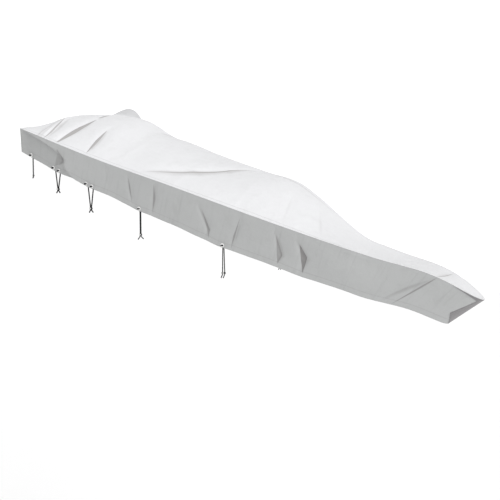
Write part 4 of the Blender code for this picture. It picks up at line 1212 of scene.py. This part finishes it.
# ------------------------------------------------------------------ bow patch
# How far round from the stem the patch reaches on each side, at each share of the drop.
PATCH_BANDS = np.array([
    (0.012, 0.520), (0.016, 0.475), (0.020, 0.430), (0.027, 0.385), (0.035, 0.340),
    (0.047, 0.288), (0.060, 0.238), (0.077, 0.188), (0.095, 0.142), (0.275, 0.177),
    (0.470, 0.220), (0.660, 0.262), (0.720, 0.230), (0.780, 0.197), (0.840, 0.158),
    (0.900, 0.117), (0.950, 0.077), (1.000, 0.035),
])
PATCH_CORNER = 8              # the table's row at the patch's waist
PATCH_UPPER_ROWS = 28
PATCH_LOWER_ROWS = 112
PATCH_COLUMNS = 96
PATCH_OUT = 0.0034
STEM_POINTS = 8000
BORDER_TOP = 220
BORDER_WAIST = 30
BORDER_SIDE = 90
BORDER_FOOT = 16


def patch_place(arc, t, out_by):
    """Points on the skirt at a distance round from the stem, and the outward direction."""
    xs = WIDEST_X + (LENGTH - WIDEST_X) * np.sin(0.5 * np.pi * np.linspace(0.0, 1.0, STEM_POINTS))
    step = np.hypot(np.diff(xs), np.diff(half_breadth(xs)))
    from_stem = np.append(np.cumsum(step[::-1])[::-1], 0.0)
    x = np.interp(np.abs(arc), from_stem[::-1], xs[::-1])
    side = np.where(arc < 0.0, -1.0, 1.0)
    points, _crease = skirt_surface(x, t, 1, np.zeros(t.shape), False)
    points[..., 1] = np.where(np.abs(arc) < 1e-9, 0.0, side * points[..., 1])
    nx, ny = outline_normal(x)
    out = np.stack([nx, side * ny, np.zeros(t.shape)], -1)
    return points + out_by * out - MOUNT, out, skirt_drop(x)


def patch_border():
    """The patch's outline laid flat, as distance round from the stem and distance down."""
    shares, halves = PATCH_BANDS.T
    t = np.unique(np.concatenate([
        shares,
        np.linspace(shares[0], shares[PATCH_CORNER], BORDER_WAIST),
        np.linspace(0.1, 1.0, BORDER_SIDE),
    ]))
    half = np.interp(t, shares, halves)
    top = np.linspace(-1.0, 1.0, BORDER_TOP) * halves[0]
    foot = np.linspace(1.0, -1.0, BORDER_FOOT) * halves[-1]
    arc = np.concatenate([top, half[1:-1], foot, -half[-2:0:-1]])
    share = np.concatenate([np.full(BORDER_TOP, t[0]), t[1:-1], np.full(BORDER_FOOT, 1.0), t[-2:0:-1]])
    down = patch_place(arc, share, 0.0)[2] * share
    return np.stack([arc, down], -1)


def border_distance(arc, down):
    """Distance on the flat cloth from the patch's outline."""
    line = patch_border()
    best = np.full(arc.shape, FAR)
    for (ax, ay), (bx, by) in zip(line, np.roll(line, -1, axis=0)):
        dx = bx - ax
        dy = by - ay
        share = ((arc - ax) * dx + (down - ay) * dy) / max(dx**2 + dy**2, 1e-12)
        share = np.clip(share, 0.0, 1.0)
        best = np.minimum(best, np.hypot(arc - ax - share * dx, down - ay - share * dy))
    return best


def bow_patch():
    """The darker patch wrapped round the stem; its dark grey is painted shade where the cloth turns round the
    bow.
    """
    shares, halves = PATCH_BANDS.T
    rows = np.concatenate([
        np.linspace(shares[0], shares[PATCH_CORNER], PATCH_UPPER_ROWS + 1)[:-1],
        np.linspace(shares[PATCH_CORNER], 1.0, PATCH_LOWER_ROWS + 1),
    ])
    arc = np.linspace(-1.0, 1.0, PATCH_COLUMNS + 1)[:, None] * np.interp(rows, shares, halves)[None, :]
    t = rows[None, :] + np.zeros(arc.shape)
    points, out, drop = patch_place(arc, t, PATCH_OUT)
    flat = np.stack([arc, t * drop], -1)
    wear_and_shade = {"crease": np.zeros(t.shape), "edge": border_distance(arc, t * drop)}
    normals = grid_normals(points, out)
    item = cloth_object("cover_bow_patch", points, normals, PATCH_SHOWN, flat, wear_and_shade, stem_shade_cloth)
    return item, grid_area(points)


patch, patch_area = bow_patch()
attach(patch, "root")
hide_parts("bow_patch")


# ------------------------------------------------------------------ small turned and moulded parts
# Eyelet: radius and height of its section, from the foot of the barrel round the flange.
EYELET_PROFILE = [
    (0.0122, -0.0040), (0.0138, -0.0041), (0.0138, 0.0009), (0.0180, 0.0010), (0.0220, 0.0010),
    (0.0219, 0.0019), (0.0208, 0.0029), (0.0180, 0.0037), (0.0150, 0.0041), (0.0130, 0.0036),
    (0.0122, 0.0022),
]
EYELET_EDGE = 0.0004
EYELET_ARC_STEPS = 32
KEEPER_EDGE = 0.0008
KEEPER_BEVEL = (0.0015, 0.0070)       # how far in at the ends, and the height where it starts
KEEPER_GROOVE = (0.0006, 0.0012, 0.0006)      # depth, half-width at the face and at the bottom
KEEPER_ARC_STEPS = 16
STUD_FOOT = [(0.0073, 0.0), (0.0078, 0.0004), (0.0078, 0.0014), (0.0075, 0.0018)]
STUD_DOME = (0.0073, 0.0025)  # radius and rise
STUD_DOME_START = 0.0019
STUD_DOME_STEPS = 7
STUD_SIDES = 32


def frame_at(centre, long_way, axis):
    """A placement from its centre, its long direction and its axis."""
    axis = Vector(axis).normalized()
    long_way = Vector(long_way)
    long_way = (long_way - axis * long_way.dot(axis)).normalized()
    turn = Matrix((long_way, axis.cross(long_way), axis)).transposed().to_4x4()
    return Matrix.Translation(Vector(centre)) @ turn


def round_corners(profile, radius, steps=4):
    """The profile with each corner replaced by a small arc of its own size."""
    result = []
    count = len(profile)
    for k in range(count):
        here = Vector(profile[k])
        before = Vector(profile[k - 1]) - here
        after = Vector(profile[(k + 1) % count]) - here
        reach = min(radius, 0.45 * before.length, 0.45 * after.length)
        start = here + before.normalized() * reach
        end = here + after.normalized() * reach
        for s in range(steps + 1):
            u = s / steps
            result.append(tuple((1 - u) ** 2 * start + 2 * u * (1 - u) * here + u * u * end))
    return result


def swept_ring(name, profile, half_gap, placement, material, arc_steps):
    """A closed profile swept round one or two cords, or round an eyelet."""
    outline = [(half_gap, -0.5 * math.pi + math.pi * k / arc_steps) for k in range(arc_steps + 1)]
    outline += [(-half_gap, 0.5 * math.pi + math.pi * k / arc_steps) for k in range(arc_steps + 1)]
    if half_gap == 0.0:
        outline = [(0.0, math.pi * k / arc_steps) for k in range(2 * arc_steps)]
    build = bmesh.new()
    rings = [
        [
            build.verts.new(placement @ Vector((shift + radius * math.cos(a), radius * math.sin(a), height)))
            for shift, a in outline
        ]
        for radius, height in profile
    ]
    for lower, upper in zip(rings, rings[1:] + rings[:1]):
        join_rings(build, lower, upper)
    return small_part(build, name, material)


def join_rings(build, lower, upper):
    """A band of faces between two rings of vertices."""
    count = len(lower)
    return [
        build.faces.new((lower[k], lower[(k + 1) % count], upper[(k + 1) % count], upper[k]))
        for k in range(count)
    ]


def smooth_part(build, name, material):
    """A smoothly shaded object from a finished mesh."""
    mesh = bpy.data.meshes.new(name)
    build.to_mesh(mesh)
    build.free()
    mesh.materials.append(material)
    mesh.polygons.foreach_set("use_smooth", np.ones(len(mesh.polygons), bool))
    return in_scene(name, mesh)


def small_part(build, name, material):
    """A small part with its faces turned outwards."""
    bmesh.ops.recalc_face_normals(build, faces=build.faces)
    if build.calc_volume(signed=True) < 0.0:
        bmesh.ops.reverse_faces(build, faces=build.faces)
    return smooth_part(build, name, material)


def domed_stud(name, placement, material):
    """A pale press stud with a domed cap."""
    wide, rise = STUD_DOME
    profile = list(STUD_FOOT)
    for k in range(1, STUD_DOME_STEPS):
        angle = 0.5 * math.pi * k / STUD_DOME_STEPS
        profile.append((wide * math.cos(angle), STUD_DOME_START + rise * math.sin(angle)))
    angles = [2 * math.pi * k / STUD_SIDES for k in range(STUD_SIDES)]
    build = bmesh.new()
    rings = [
        [
            build.verts.new(placement @ Vector((radius * math.cos(a), radius * math.sin(a), height)))
            for a in angles
        ]
        for radius, height in profile
    ]
    for lower, upper in zip(rings, rings[1:]):
        join_rings(build, lower, upper)
    crown = build.verts.new(placement @ Vector((0.0, 0.0, STUD_DOME_START + rise)))
    for k in range(STUD_SIDES):
        build.faces.new((rings[-1][k], rings[-1][(k + 1) % STUD_SIDES], crown))
    build.faces.new(rings[0][::-1])
    return small_part(build, name, material)


def keeper_profile(radius):
    """A keeper's section round cords of that radius, with a groove round its middle."""
    hole = radius + KEEPER_CLEAR
    wide = radius + KEEPER_WALL
    deep, outer, inner = KEEPER_GROOVE
    half = [
        (hole, KEEPER_HALF), (wide - KEEPER_BEVEL[0], KEEPER_HALF), (wide, KEEPER_BEVEL[1]),
        (wide, outer), (wide - deep, inner),
    ]
    return [(r, -z) for r, z in half] + half[::-1]


def show(item, node):
    """Put a piece on the body in place of its solid."""
    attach(item, "root")
    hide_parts(node)


# ------------------------------------------------------------------ cords
CORD_SIDES = 24
CORD_POINT_STEP = 0.006
CORD_ARC_STEP = math.radians(9.0)
CORD_END = 0.72               # share of the radius at a cord's cut ends
ASKEW = (0.92, 0.22, 0.31)    # a direction along which no cord starts
STRAND_SIDES = 16
STRAND_END = 0.6
KNOT_POINTS = 120
KNOT_STRAND = 0.0060
KNOT_SPREAD = 0.0024
KNOT_RISE = 0.0052
KNOT_TURNED = (0.6, 2.3)      # turns the knots so that no two look alike
WHIP_STRAND = 0.00085
WHIP_TURNS = 7
WHIP_TURN_STEPS = 20
WHIP_LENGTH = 0.0118


def rounded_route(corners):
    """Points along straight runs joined by arcs; each corner is (point, bend radius)."""
    runs = [corners[0][0]]
    for before, here, after in zip(corners[:-2], corners[1:-1], corners[2:]):
        point, radius = here
        back = (before[0] - point).normalized()
        ahead = (after[0] - point).normalized()
        turn = math.pi - back.angle(ahead)
        if turn < STRAIGHT or radius == 0.0:
            runs.append(point)
            continue
        reach = radius * math.tan(0.5 * turn)
        centre = point + (back + ahead).normalized() * radius / math.cos(0.5 * turn)
        first = point + back * reach - centre
        last = point + ahead * reach - centre
        steps = max(2, math.ceil(turn / CORD_ARC_STEP))
        for k in range(steps + 1):
            part = k / steps
            runs.append(centre + first * math.sin((1.0 - part) * turn) / math.sin(turn)
                        + last * math.sin(part * turn) / math.sin(turn))
    runs.append(corners[-1][0])
    points = [runs[0]]
    for a, b in zip(runs[:-1], runs[1:]):
        steps = max(1, math.ceil((b - a).length / CORD_POINT_STEP))
        points += [a.lerp(b, k / steps) for k in range(1, steps + 1)]
    return points


def ring_at(build, centre, side, other, radius, count):
    """A ring of vertices round a point of a cord."""
    angles = 2.0 * np.pi * np.arange(count) / count
    ring = centre + radius * (np.cos(angles)[:, None] * side + np.sin(angles)[:, None] * other)
    return [build.verts.new(tuple(p)) for p in ring]


def braided_band(build, layer, lower, upper, start, end):
    """Faces between two rings, with the braid's place along and round the cord."""
    for s, face in enumerate(join_rings(build, lower, upper)):
        for corner, (u, w) in zip(face.loops, ((start, s), (start, s + 1), (end, s + 1), (end, s))):
            corner[layer].uv = (u, w / len(lower))


def cord_tube(name, points, thick):
    """A round cord along its route, with rounded cut ends."""
    path = np.array([list(p) for p in points])
    tangent = unit(np.gradient(path, axis=0))
    side = unit(np.cross(tangent[0], ASKEW))
    run = run_along(path)
    build = bmesh.new()
    layer = build.loops.layers.uv.new("weave")
    rings = []
    last = len(path) - 1
    for k, way in enumerate(tangent):
        side = unit(side - way * (side @ way))
        radius = thick if 0 < k < last else CORD_END * thick
        rings.append(ring_at(build, path[k], side, np.cross(way, side), radius, CORD_SIDES))
    for k in range(last):
        braided_band(build, layer, rings[k], rings[k + 1], run[k], run[k + 1])
    for ring, middle in ((rings[0][::-1], path[0]), (rings[-1], path[-1])):
        for corner in build.faces.new(ring).loops:
            away = corner.vert.co - Vector(middle)
            corner[layer].uv = (away.x, away.z)
    return smooth_part(build, name, braid), path, float(run[-1])


def round_tube(name, path, thick, closed, material):
    """A thin round strand along a path, for knots and bindings."""
    path = np.array(path, float)
    last = len(path) - 1
    after = np.roll(path, -1, axis=0)
    before = np.roll(path, 1, axis=0)
    if not closed:
        after[-1] = 2.0 * path[-1] - path[-2]
        before[0] = 2.0 * path[0] - path[1]
    tangent = unit(after - before)
    middle = path.mean(0)
    build = bmesh.new()
    layer = build.loops.layers.uv.new("weave")
    run = run_along(path)
    rings = []
    for k, way in enumerate(tangent):
        side = unit(np.cross(way, path[k] - middle))
        radius = thick if closed or 0 < k < last else STRAND_END * thick
        rings.append(ring_at(build, path[k], side, np.cross(way, side), radius, STRAND_SIDES))
    for k in range(last):
        braided_band(build, layer, rings[k], rings[k + 1], run[k], run[k + 1])
    if closed:
        whole = run[-1] + np.linalg.norm(path[0] - path[-1])
        braided_band(build, layer, rings[-1], rings[0], run[-1], whole)
    else:
        build.faces.new(rings[0][::-1])
        build.faces.new(rings[-1])
    return small_part(build, name, material)


def stopper_knot(name, placement, turned):
    """A plain overhand knot drawn tight round the cord's end."""
    path = []
    for k in range(KNOT_POINTS):
        t = 2.0 * math.pi * k / KNOT_POINTS
        x = math.sin(t) + 2.0 * math.sin(2.0 * t)
        y = math.cos(t) - 2.0 * math.cos(2.0 * t)
        local = Vector((
            KNOT_SPREAD * (x * math.cos(turned) - y * math.sin(turned)),
            KNOT_SPREAD * (x * math.sin(turned) + y * math.cos(turned)),
            -KNOT_RISE * math.sin(3.0 * t),
        ))
        path.append(list(placement @ local))
    return round_tube(name, path, KNOT_STRAND, True, braid)


def whipping(name, placement, cord):
    """Twine wound tight round a cord's end."""
    steps = WHIP_TURNS * WHIP_TURN_STEPS
    reach = cord + 0.6 * WHIP_STRAND
    path = []
    for k in range(steps + 1):
        angle = 2.0 * math.pi * WHIP_TURNS * k / steps
        height = WHIP_LENGTH * (k / steps - 0.5)
        path.append(list(placement @ Vector((reach * math.cos(angle), reach * math.sin(angle), height))))
    return round_tube(name, path, WHIP_STRAND, False, braid)


def tie_eyelets(tie, side):
    """The eyelets of one tie, set in the cloth's holes."""
    seats = SEATS[tie.name, side]
    profile = round_corners(EYELET_PROFILE, EYELET_EDGE, 2)
    for letter, seat in zip(("a", "b") if len(seats) > 1 else ("",), seats):
        placement = frame_at(seat.centre, (1.0, 0.0, 0.0), seat.axis)
        name = f"{tie.name}_ring{letter}_{SIDES[side]}"
        ring = swept_ring(name, profile, 0.0, placement, eyelet_shell, EYELET_ARC_STEPS)
        show(ring, f"{tie.name}_eyelet{letter}_{SIDES[side]}")


def tie_keeper(tie, side, hold, along, out, down):
    """The keeper that gathers a tie's cords, and the stud on its front."""
    profile = round_corners(keeper_profile(tie.cord), KEEPER_EDGE, 3)
    keeper = swept_ring(f"{tie.name}_sleeve_{SIDES[side]}", profile, tie.apart,
                        frame_at(hold, along, -down), black_rubber, KEEPER_ARC_STEPS)
    show(keeper, f"{tie.name}_keeper_{SIDES[side]}")
    place = frame_at(hold + out * (tie.cord + KEEPER_WALL + STUD_GAP), along, out)
    stud = domed_stud(f"{tie.name}_press_stud_{SIDES[side]}", place, pale_plastic)
    show(stud, f"{tie.name}_stud_{SIDES[side]}")
    return [keeper, stud]


def build_tie(tie, side):
    """One tie with its eyelets, cords, knots, keeper and stud."""
    suffix = SIDES[side]
    seats = SEATS[tie.name, side]
    tie_eyelets(tie, side)
    down = Vector((TIE_LEAN, 0.0, -1.0)).normalized()
    middle = sum((Vector(seat.centre) for seat in seats), Vector()) / len(seats)
    face = sum((Vector(seat.axis) for seat in seats), Vector()).normalized()
    out = (face - down * face.dot(down)).normalized()
    along = down.cross(out) * -side
    if along.x < 0.0:
        along.negate()
    bend = BEND_SHARE * tie.cord
    back = BEND_BACK + bend
    hold = middle - out * back + down * tie.drop
    holders = tie_keeper(tie, side, hold, along, out, down)

    strands = [("", 0.0, tie.aft_splay, tie.aft_tail)]
    if tie.apart:
        strands = [("a", -1.0, tie.aft_splay, tie.aft_tail), ("b", 1.0, tie.fore_splay, tie.fore_tail)]
    shared = bool(tie.apart) and len(seats) == 1      # two cords through one eyelet
    for letter, lie, splay, length in strands:
        seat = seats[0] if lie <= 0.0 else seats[-1]
        centre = Vector(seat.centre)
        axis = Vector(seat.axis)
        hole = along * (lie * HOLE_APART * shared)
        front = along * (lie * KNOT_APART * shared)
        shift = hold + along * (lie * tie.apart)
        tail = shift + down * (KEEPER_HALF + bend * math.tan(0.5 * math.atan(abs(splay))))
        corners = [
            (centre + axis * (WHIPPED_END if shared else KNOTTED_END) + front, 0.0),
            (centre + axis * KNOT_FOOT + front, 0.0),
            (centre + hole, 0.0),
            (centre - axis * back + hole, bend),
            (shift - down * KEEPER_ABOVE, KEEPER_BEND),
            (tail, bend),
            (tail + (down + along * splay).normalized() * length, 0.0),
        ]
        node = f"{tie.name}_cord{letter}_{suffix}"
        if shared:
            place = frame_at(centre + axis * (KNOT_FOOT + WHIPPING_MIDDLE) + front, along, axis)
            knot = whipping(f"{tie.name}_whipping{letter}_{suffix}", place, tie.cord)
        else:
            place = frame_at(centre + axis * (KNOT_FOOT + KNOT_MIDDLE), along, axis)
            turned = KNOT_TURNED[0] + KNOT_TURNED[1] * tie.drop * (2.0 + lie)
            knot = stopper_knot(f"{tie.name}_knot{letter}_{suffix}", place, turned)
        show(knot, node)
        item, path, run = cord_tube(f"{tie.name}_rope{letter}_{suffix}", rounded_route(corners), tie.cord)
        show(item, node)


for tie in TIES:
    for side in SIDES:
        build_tie(tie, side)


# ------------------------------------------------------------------ stitching
STITCH_PITCH = 0.0085
STITCH_SIZE = (0.0029, 0.00062, 0.00045)      # half-length, half-width and half-height
STITCH_LEAST = (0.86, 0.85, 0.85)
STITCH_MOST = (1.08, 1.15, 1.15)
STITCH_SEED = 5
STITCH_SEARCH = 0.020
STITCH_LIFT = 0.0001
ROW_STEP = 0.010
PATCH_ROW_STEP = 0.004
PATCH_ROW_BREAK = 0.012
TOP_ROWS = (0.004, 0.020)
SKIRT_TOP_ROWS = (0.005,)
SKIRT_HEM_ROWS = (0.0028, 0.054)
SKIRT_ROW_POINTS = 640
SKIRT_ROW_START = 0.012
SKIRT_ROW_END = LENGTH - 0.0006
STEM_ROW_POINTS = 30
STEM_ROW_LENGTH = 0.010
STERN_ROW_END = 0.995
STERN_ROW_POINTS = 220
TOP_STERN_POINTS = 190
PATCH_INSET = 0.006
PATCH_LEAST_INSET = 0.93


def stitch_tree():
    """Stitches set along the edges of a mesh, each lying along the row and square to the cloth."""
    tree = bpy.data.node_groups.new("stitch_rows", "GeometryNodeTree")
    tree.interface.new_socket("Geometry", in_out="INPUT", socket_type="NodeSocketGeometry")
    for name, kind in (("Pitch", "Float"), ("Size", "Vector"), ("Seed", "Int"), ("Thread", "Material")):
        tree.interface.new_socket(name, in_out="INPUT", socket_type="NodeSocket" + kind)
    tree.interface.new_socket("Geometry", in_out="OUTPUT", socket_type="NodeSocketGeometry")
    node = tree.nodes.new
    link = tree.links.new
    given = node("NodeGroupInput")
    result = node("NodeGroupOutput")
    curve = node("GeometryNodeMeshToCurve")
    link(given.outputs["Geometry"], curve.inputs["Mesh"])
    even = node("GeometryNodeResampleCurve")
    even.mode = "LENGTH"
    link(curve.outputs["Curve"], even.inputs["Curve"])
    link(given.outputs["Pitch"], even.inputs["Length"])
    normal = node("GeometryNodeInputNamedAttribute")
    normal.data_type = "FLOAT_VECTOR"
    normal.inputs["Name"].default_value = "outward"
    tangent = node("GeometryNodeInputTangent")
    stand = node("FunctionNodeAlignRotationToVector")
    stand.axis = "Z"
    link(normal.outputs["Attribute"], stand.inputs["Vector"])
    lie = node("FunctionNodeAlignRotationToVector")
    lie.axis = "X"
    lie.pivot_axis = "Z"
    link(stand.outputs["Rotation"], lie.inputs["Rotation"])
    link(tangent.outputs["Tangent"], lie.inputs["Vector"])
    stitch = node("GeometryNodeMeshIcoSphere")
    stitch.inputs["Radius"].default_value = 1.0
    stitch.inputs["Subdivisions"].default_value = 1
    smooth = node("GeometryNodeSetShadeSmooth")
    link(stitch.outputs["Mesh"], smooth.inputs["Geometry"])
    spread = node("FunctionNodeRandomValue")
    spread.data_type = "FLOAT_VECTOR"
    spread.inputs["Min"].default_value = STITCH_LEAST
    spread.inputs["Max"].default_value = STITCH_MOST
    link(given.outputs["Seed"], spread.inputs["Seed"])
    size = node("ShaderNodeVectorMath")
    size.operation = "MULTIPLY"
    link(given.outputs["Size"], size.inputs[0])
    link(spread.outputs[0], size.inputs[1])
    place = node("GeometryNodeInstanceOnPoints")
    link(even.outputs["Curve"], place.inputs["Points"])
    link(smooth.outputs["Geometry"], place.inputs["Instance"])
    link(lie.outputs["Rotation"], place.inputs["Rotation"])
    link(size.outputs["Vector"], place.inputs["Scale"])
    real = node("GeometryNodeRealizeInstances")
    link(place.outputs["Instances"], real.inputs["Geometry"])
    finish = node("GeometryNodeSetMaterial")
    link(real.outputs["Geometry"], finish.inputs["Geometry"])
    link(given.outputs["Thread"], finish.inputs["Material"])
    link(finish.outputs["Geometry"], result.inputs["Geometry"])
    return tree


STITCHES = stitch_tree()


def stitch_piece(name, rows, thread, node):
    """One piece of stitching from rows of points and outward directions."""
    points = []
    outward = []
    edges = []
    for line, way in rows:
        first = len(points)
        points += line.tolist()
        outward += way.tolist()
        edges += [(first + k, first + k + 1) for k in range(len(line) - 1)]
    mesh = bpy.data.meshes.new(name)
    mesh.from_pydata(points, edges, [])
    store = mesh.attributes.new("outward", "FLOAT_VECTOR", "POINT")
    store.data.foreach_set("vector", np.array(outward, np.float32).ravel())
    item = in_scene(name, mesh)
    modifier = item.modifiers.new("stitches", "NODES")
    modifier.node_group = STITCHES
    entries = STITCHES.interface.items_tree
    sockets = {entry.name: entry.identifier for entry in entries if entry.in_out == "INPUT"}
    modifier[sockets["Pitch"]] = STITCH_PITCH
    modifier[sockets["Size"]] = STITCH_SIZE
    modifier[sockets["Seed"]] = STITCH_SEED
    modifier[sockets["Thread"]] = thread
    view = bpy.context.evaluated_depsgraph_get()
    sewn = bpy.data.meshes.new_from_object(item.evaluated_get(view))
    item.modifiers.clear()
    item.data = sewn
    bpy.data.meshes.remove(mesh)
    show(item, node)


def cloth_tree(item):
    """A search tree over a cloth piece's faces."""
    vertices = [vertex.co.copy() for vertex in item.data.vertices]
    return BVHTree.FromPolygons(vertices, [tuple(face.vertices) for face in item.data.polygons])


def settle_row(tree, line, away):
    """Set a row of points on the cloth's outer face; away is one rough outward direction or many."""
    kept = []
    ways = []
    for point, way in zip(line, np.broadcast_to(away, line.shape)):
        way = Vector(way).normalized()
        hit = tree.ray_cast(Vector(point) + way * STITCH_SEARCH, -way, 2.0 * STITCH_SEARCH)
        if hit[0] is None:
            continue
        normal = hit[1] if hit[1].dot(way) > 0.0 else -hit[1]
        kept.append(list(hit[0] + normal * STITCH_LIFT))
        ways.append(list(normal))
    return np.array(kept), np.array(ways)


def rim_row(inset):
    """Plan points at a distance inside the rim, round both sides from the transom."""
    line = outline_line(ROW_OUTLINE_POINTS)
    line = even_points(np.concatenate([line[:-1], line[::-1] * (1.0, -1.0)]), ROW_STEP)
    tangent = unit(np.gradient(line, axis=0))
    moved = line + inset * np.stack([tangent[:, 1], -tangent[:, 0]], -1)
    return moved[moved[:, 0] > inset]


def on_top(x, y):
    """Points of the top's outer face without its slack."""
    v = np.clip(y / half_breadth(x), -1.0, 1.0)
    return np.stack([x, y, top_height(x, v)[0]], -1) - MOUNT


def top_rows():
    """Rows inside the top's rim, over the sides and across the transom."""
    tree = cloth_tree(cover_top)
    rows = []
    for inset in TOP_ROWS:
        plan = rim_row(inset)
        rows.append(settle_row(tree, on_top(plan[:, 0], plan[:, 1]), UP))
        across = np.linspace(-1.0, 1.0, TOP_STERN_POINTS) * (half_breadth(inset) - inset)
        rows.append(settle_row(tree, on_top(np.full(TOP_STERN_POINTS, inset), across), UP))
    return rows


def skirt_shares(tall):
    """Where a skirt's rows lie, as shares of its drop."""
    return [down / tall for down in SKIRT_TOP_ROWS] + [1.0 - up / tall for up in SKIRT_HEM_ROWS]


def skirt_rows(side):
    """Rows along a side skirt's seam and hem, with more points where it turns at the stem."""
    tree = cloth_tree(skirts[side])
    x = np.linspace(SKIRT_ROW_START, SKIRT_ROW_END, SKIRT_ROW_POINTS)
    turn = (1.0 - np.linspace(0.0, 1.0, STEM_ROW_POINTS) ** 0.5) ** 2
    x = np.unique(np.append(x[:-1], SKIRT_ROW_END - STEM_ROW_LENGTH * turn))
    nx, ny = outline_normal(x)
    away = np.stack([nx, side * ny, np.zeros(len(x))], -1)
    return [
        settle_row(tree, skirt_surface(x, t, side, np.zeros(len(x)))[0] - MOUNT, away)
        for t in skirt_shares(skirt_drop(x))
    ]


def stern_rows():
    """Rows along the stern skirt's seam and hem."""
    tree = cloth_tree(stern)
    v = np.linspace(-STERN_ROW_END, STERN_ROW_END, STERN_ROW_POINTS)
    tall = stern_surface(v, np.zeros(v.shape))[1]
    return [settle_row(tree, stern_surface(v, t)[0] - MOUNT, ASTERN) for t in skirt_shares(tall)]


def patch_rows():
    """A row of stitches just inside the patch's outline, in the pieces that keep their distance."""
    tree = cloth_tree(patch)
    line = even_points(patch_border(), PATCH_ROW_STEP)
    tangent = unit(np.gradient(line, axis=0), 1e-9)
    moved = line + PATCH_INSET * np.stack([-tangent[:, 1], tangent[:, 0]], -1)
    kept = border_distance(moved[:, 0], moved[:, 1]) > PATCH_LEAST_INSET * PATCH_INSET
    rows = []
    start = 0
    for k in range(1, len(moved) + 1):
        if k < len(moved) and kept[k] and np.linalg.norm(moved[k] - moved[k - 1]) <= PATCH_ROW_BREAK:
            continue
        piece = moved[start:k][kept[start:k]]
        start = k
        if len(piece) > 4:
            drop = patch_place(piece[:, 0], np.zeros(len(piece)), 0.0)[2]
            t = np.clip(piece[:, 1] / drop, 0.0, 1.0)
            points, out, _drop = patch_place(piece[:, 0], t, PATCH_OUT)
            rows.append(settle_row(tree, points, out))
    return [row for row in rows if len(row[0]) > 3]


stitch_piece("stitches_top", top_rows(), top_thread, "top_panel")
stitch_piece("stitches_starboard", skirt_rows(-1), skirt_thread, "skirt_starboard")
stitch_piece("stitches_port", skirt_rows(1), skirt_thread, "skirt_port")
stitch_piece("stitches_stern", stern_rows(), skirt_thread, "skirt_stern")
stitch_piece("stitches_patch", patch_rows(), patch_thread, "bow_patch")


# ------------------------------------------------------------------ floor and light
FLOOR_BELOW = 9.0
FLOOR_RADIUS = 90.0
FLOOR_WHITE = (0.98, 0.98, 0.98, 1.0)
HORIZON = 1.20
SKY = 0.60
SKY_BAND = (0.10, 0.55)       # rise over which the horizon's white turns into the sky's grey
KEY = 1.64
KEY_WIDTH = 40.0              # degrees
KEY_FROM = (0.62, -0.42, 0.80)


def studio():
    """A plain pale floor, a white surround and soft lights."""
    material, _tree, shader = new_material("studio_floor")
    shader.inputs["Base Color"].default_value = FLOOR_WHITE
    shader.inputs["Roughness"].default_value = 0.9
    shader.inputs["Specular IOR Level"].default_value = 0.1
    build = bmesh.new()
    bmesh.ops.create_circle(build, cap_ends=True, segments=96, radius=FLOOR_RADIUS)
    mesh = bpy.data.meshes.new("studio_floor")
    build.to_mesh(mesh)
    build.free()
    mesh.materials.append(material)
    floor = in_scene("studio_floor", mesh)
    floor.location.z = cad_box[0].z - FLOOR_BELOW
    world = bpy.data.worlds.new("studio")
    world.use_nodes = True
    tree = world.node_tree
    shade = tree.nodes["Background"]
    parts = tree.nodes.new("ShaderNodeSeparateXYZ")
    tree.links.new(tree.nodes.new("ShaderNodeTexCoord").outputs["Generated"], parts.inputs[0])
    height = ramp(tree, parts.outputs["Z"], *SKY_BAND)
    tree.links.new(mix_color(tree, height, (HORIZON,) * 3, (SKY,) * 3), shade.inputs["Color"])
    shade.inputs["Strength"].default_value = 1.0
    bpy.context.scene.world = world
    data = bpy.data.lights.new("key_light", "SUN")
    data.energy = KEY
    data.angle = math.radians(KEY_WIDTH)
    lamp = in_scene("key_light", data)
    lamp.rotation_euler = (-Vector(KEY_FROM)).to_track_quat("-Z", "Y").to_euler()


studio()
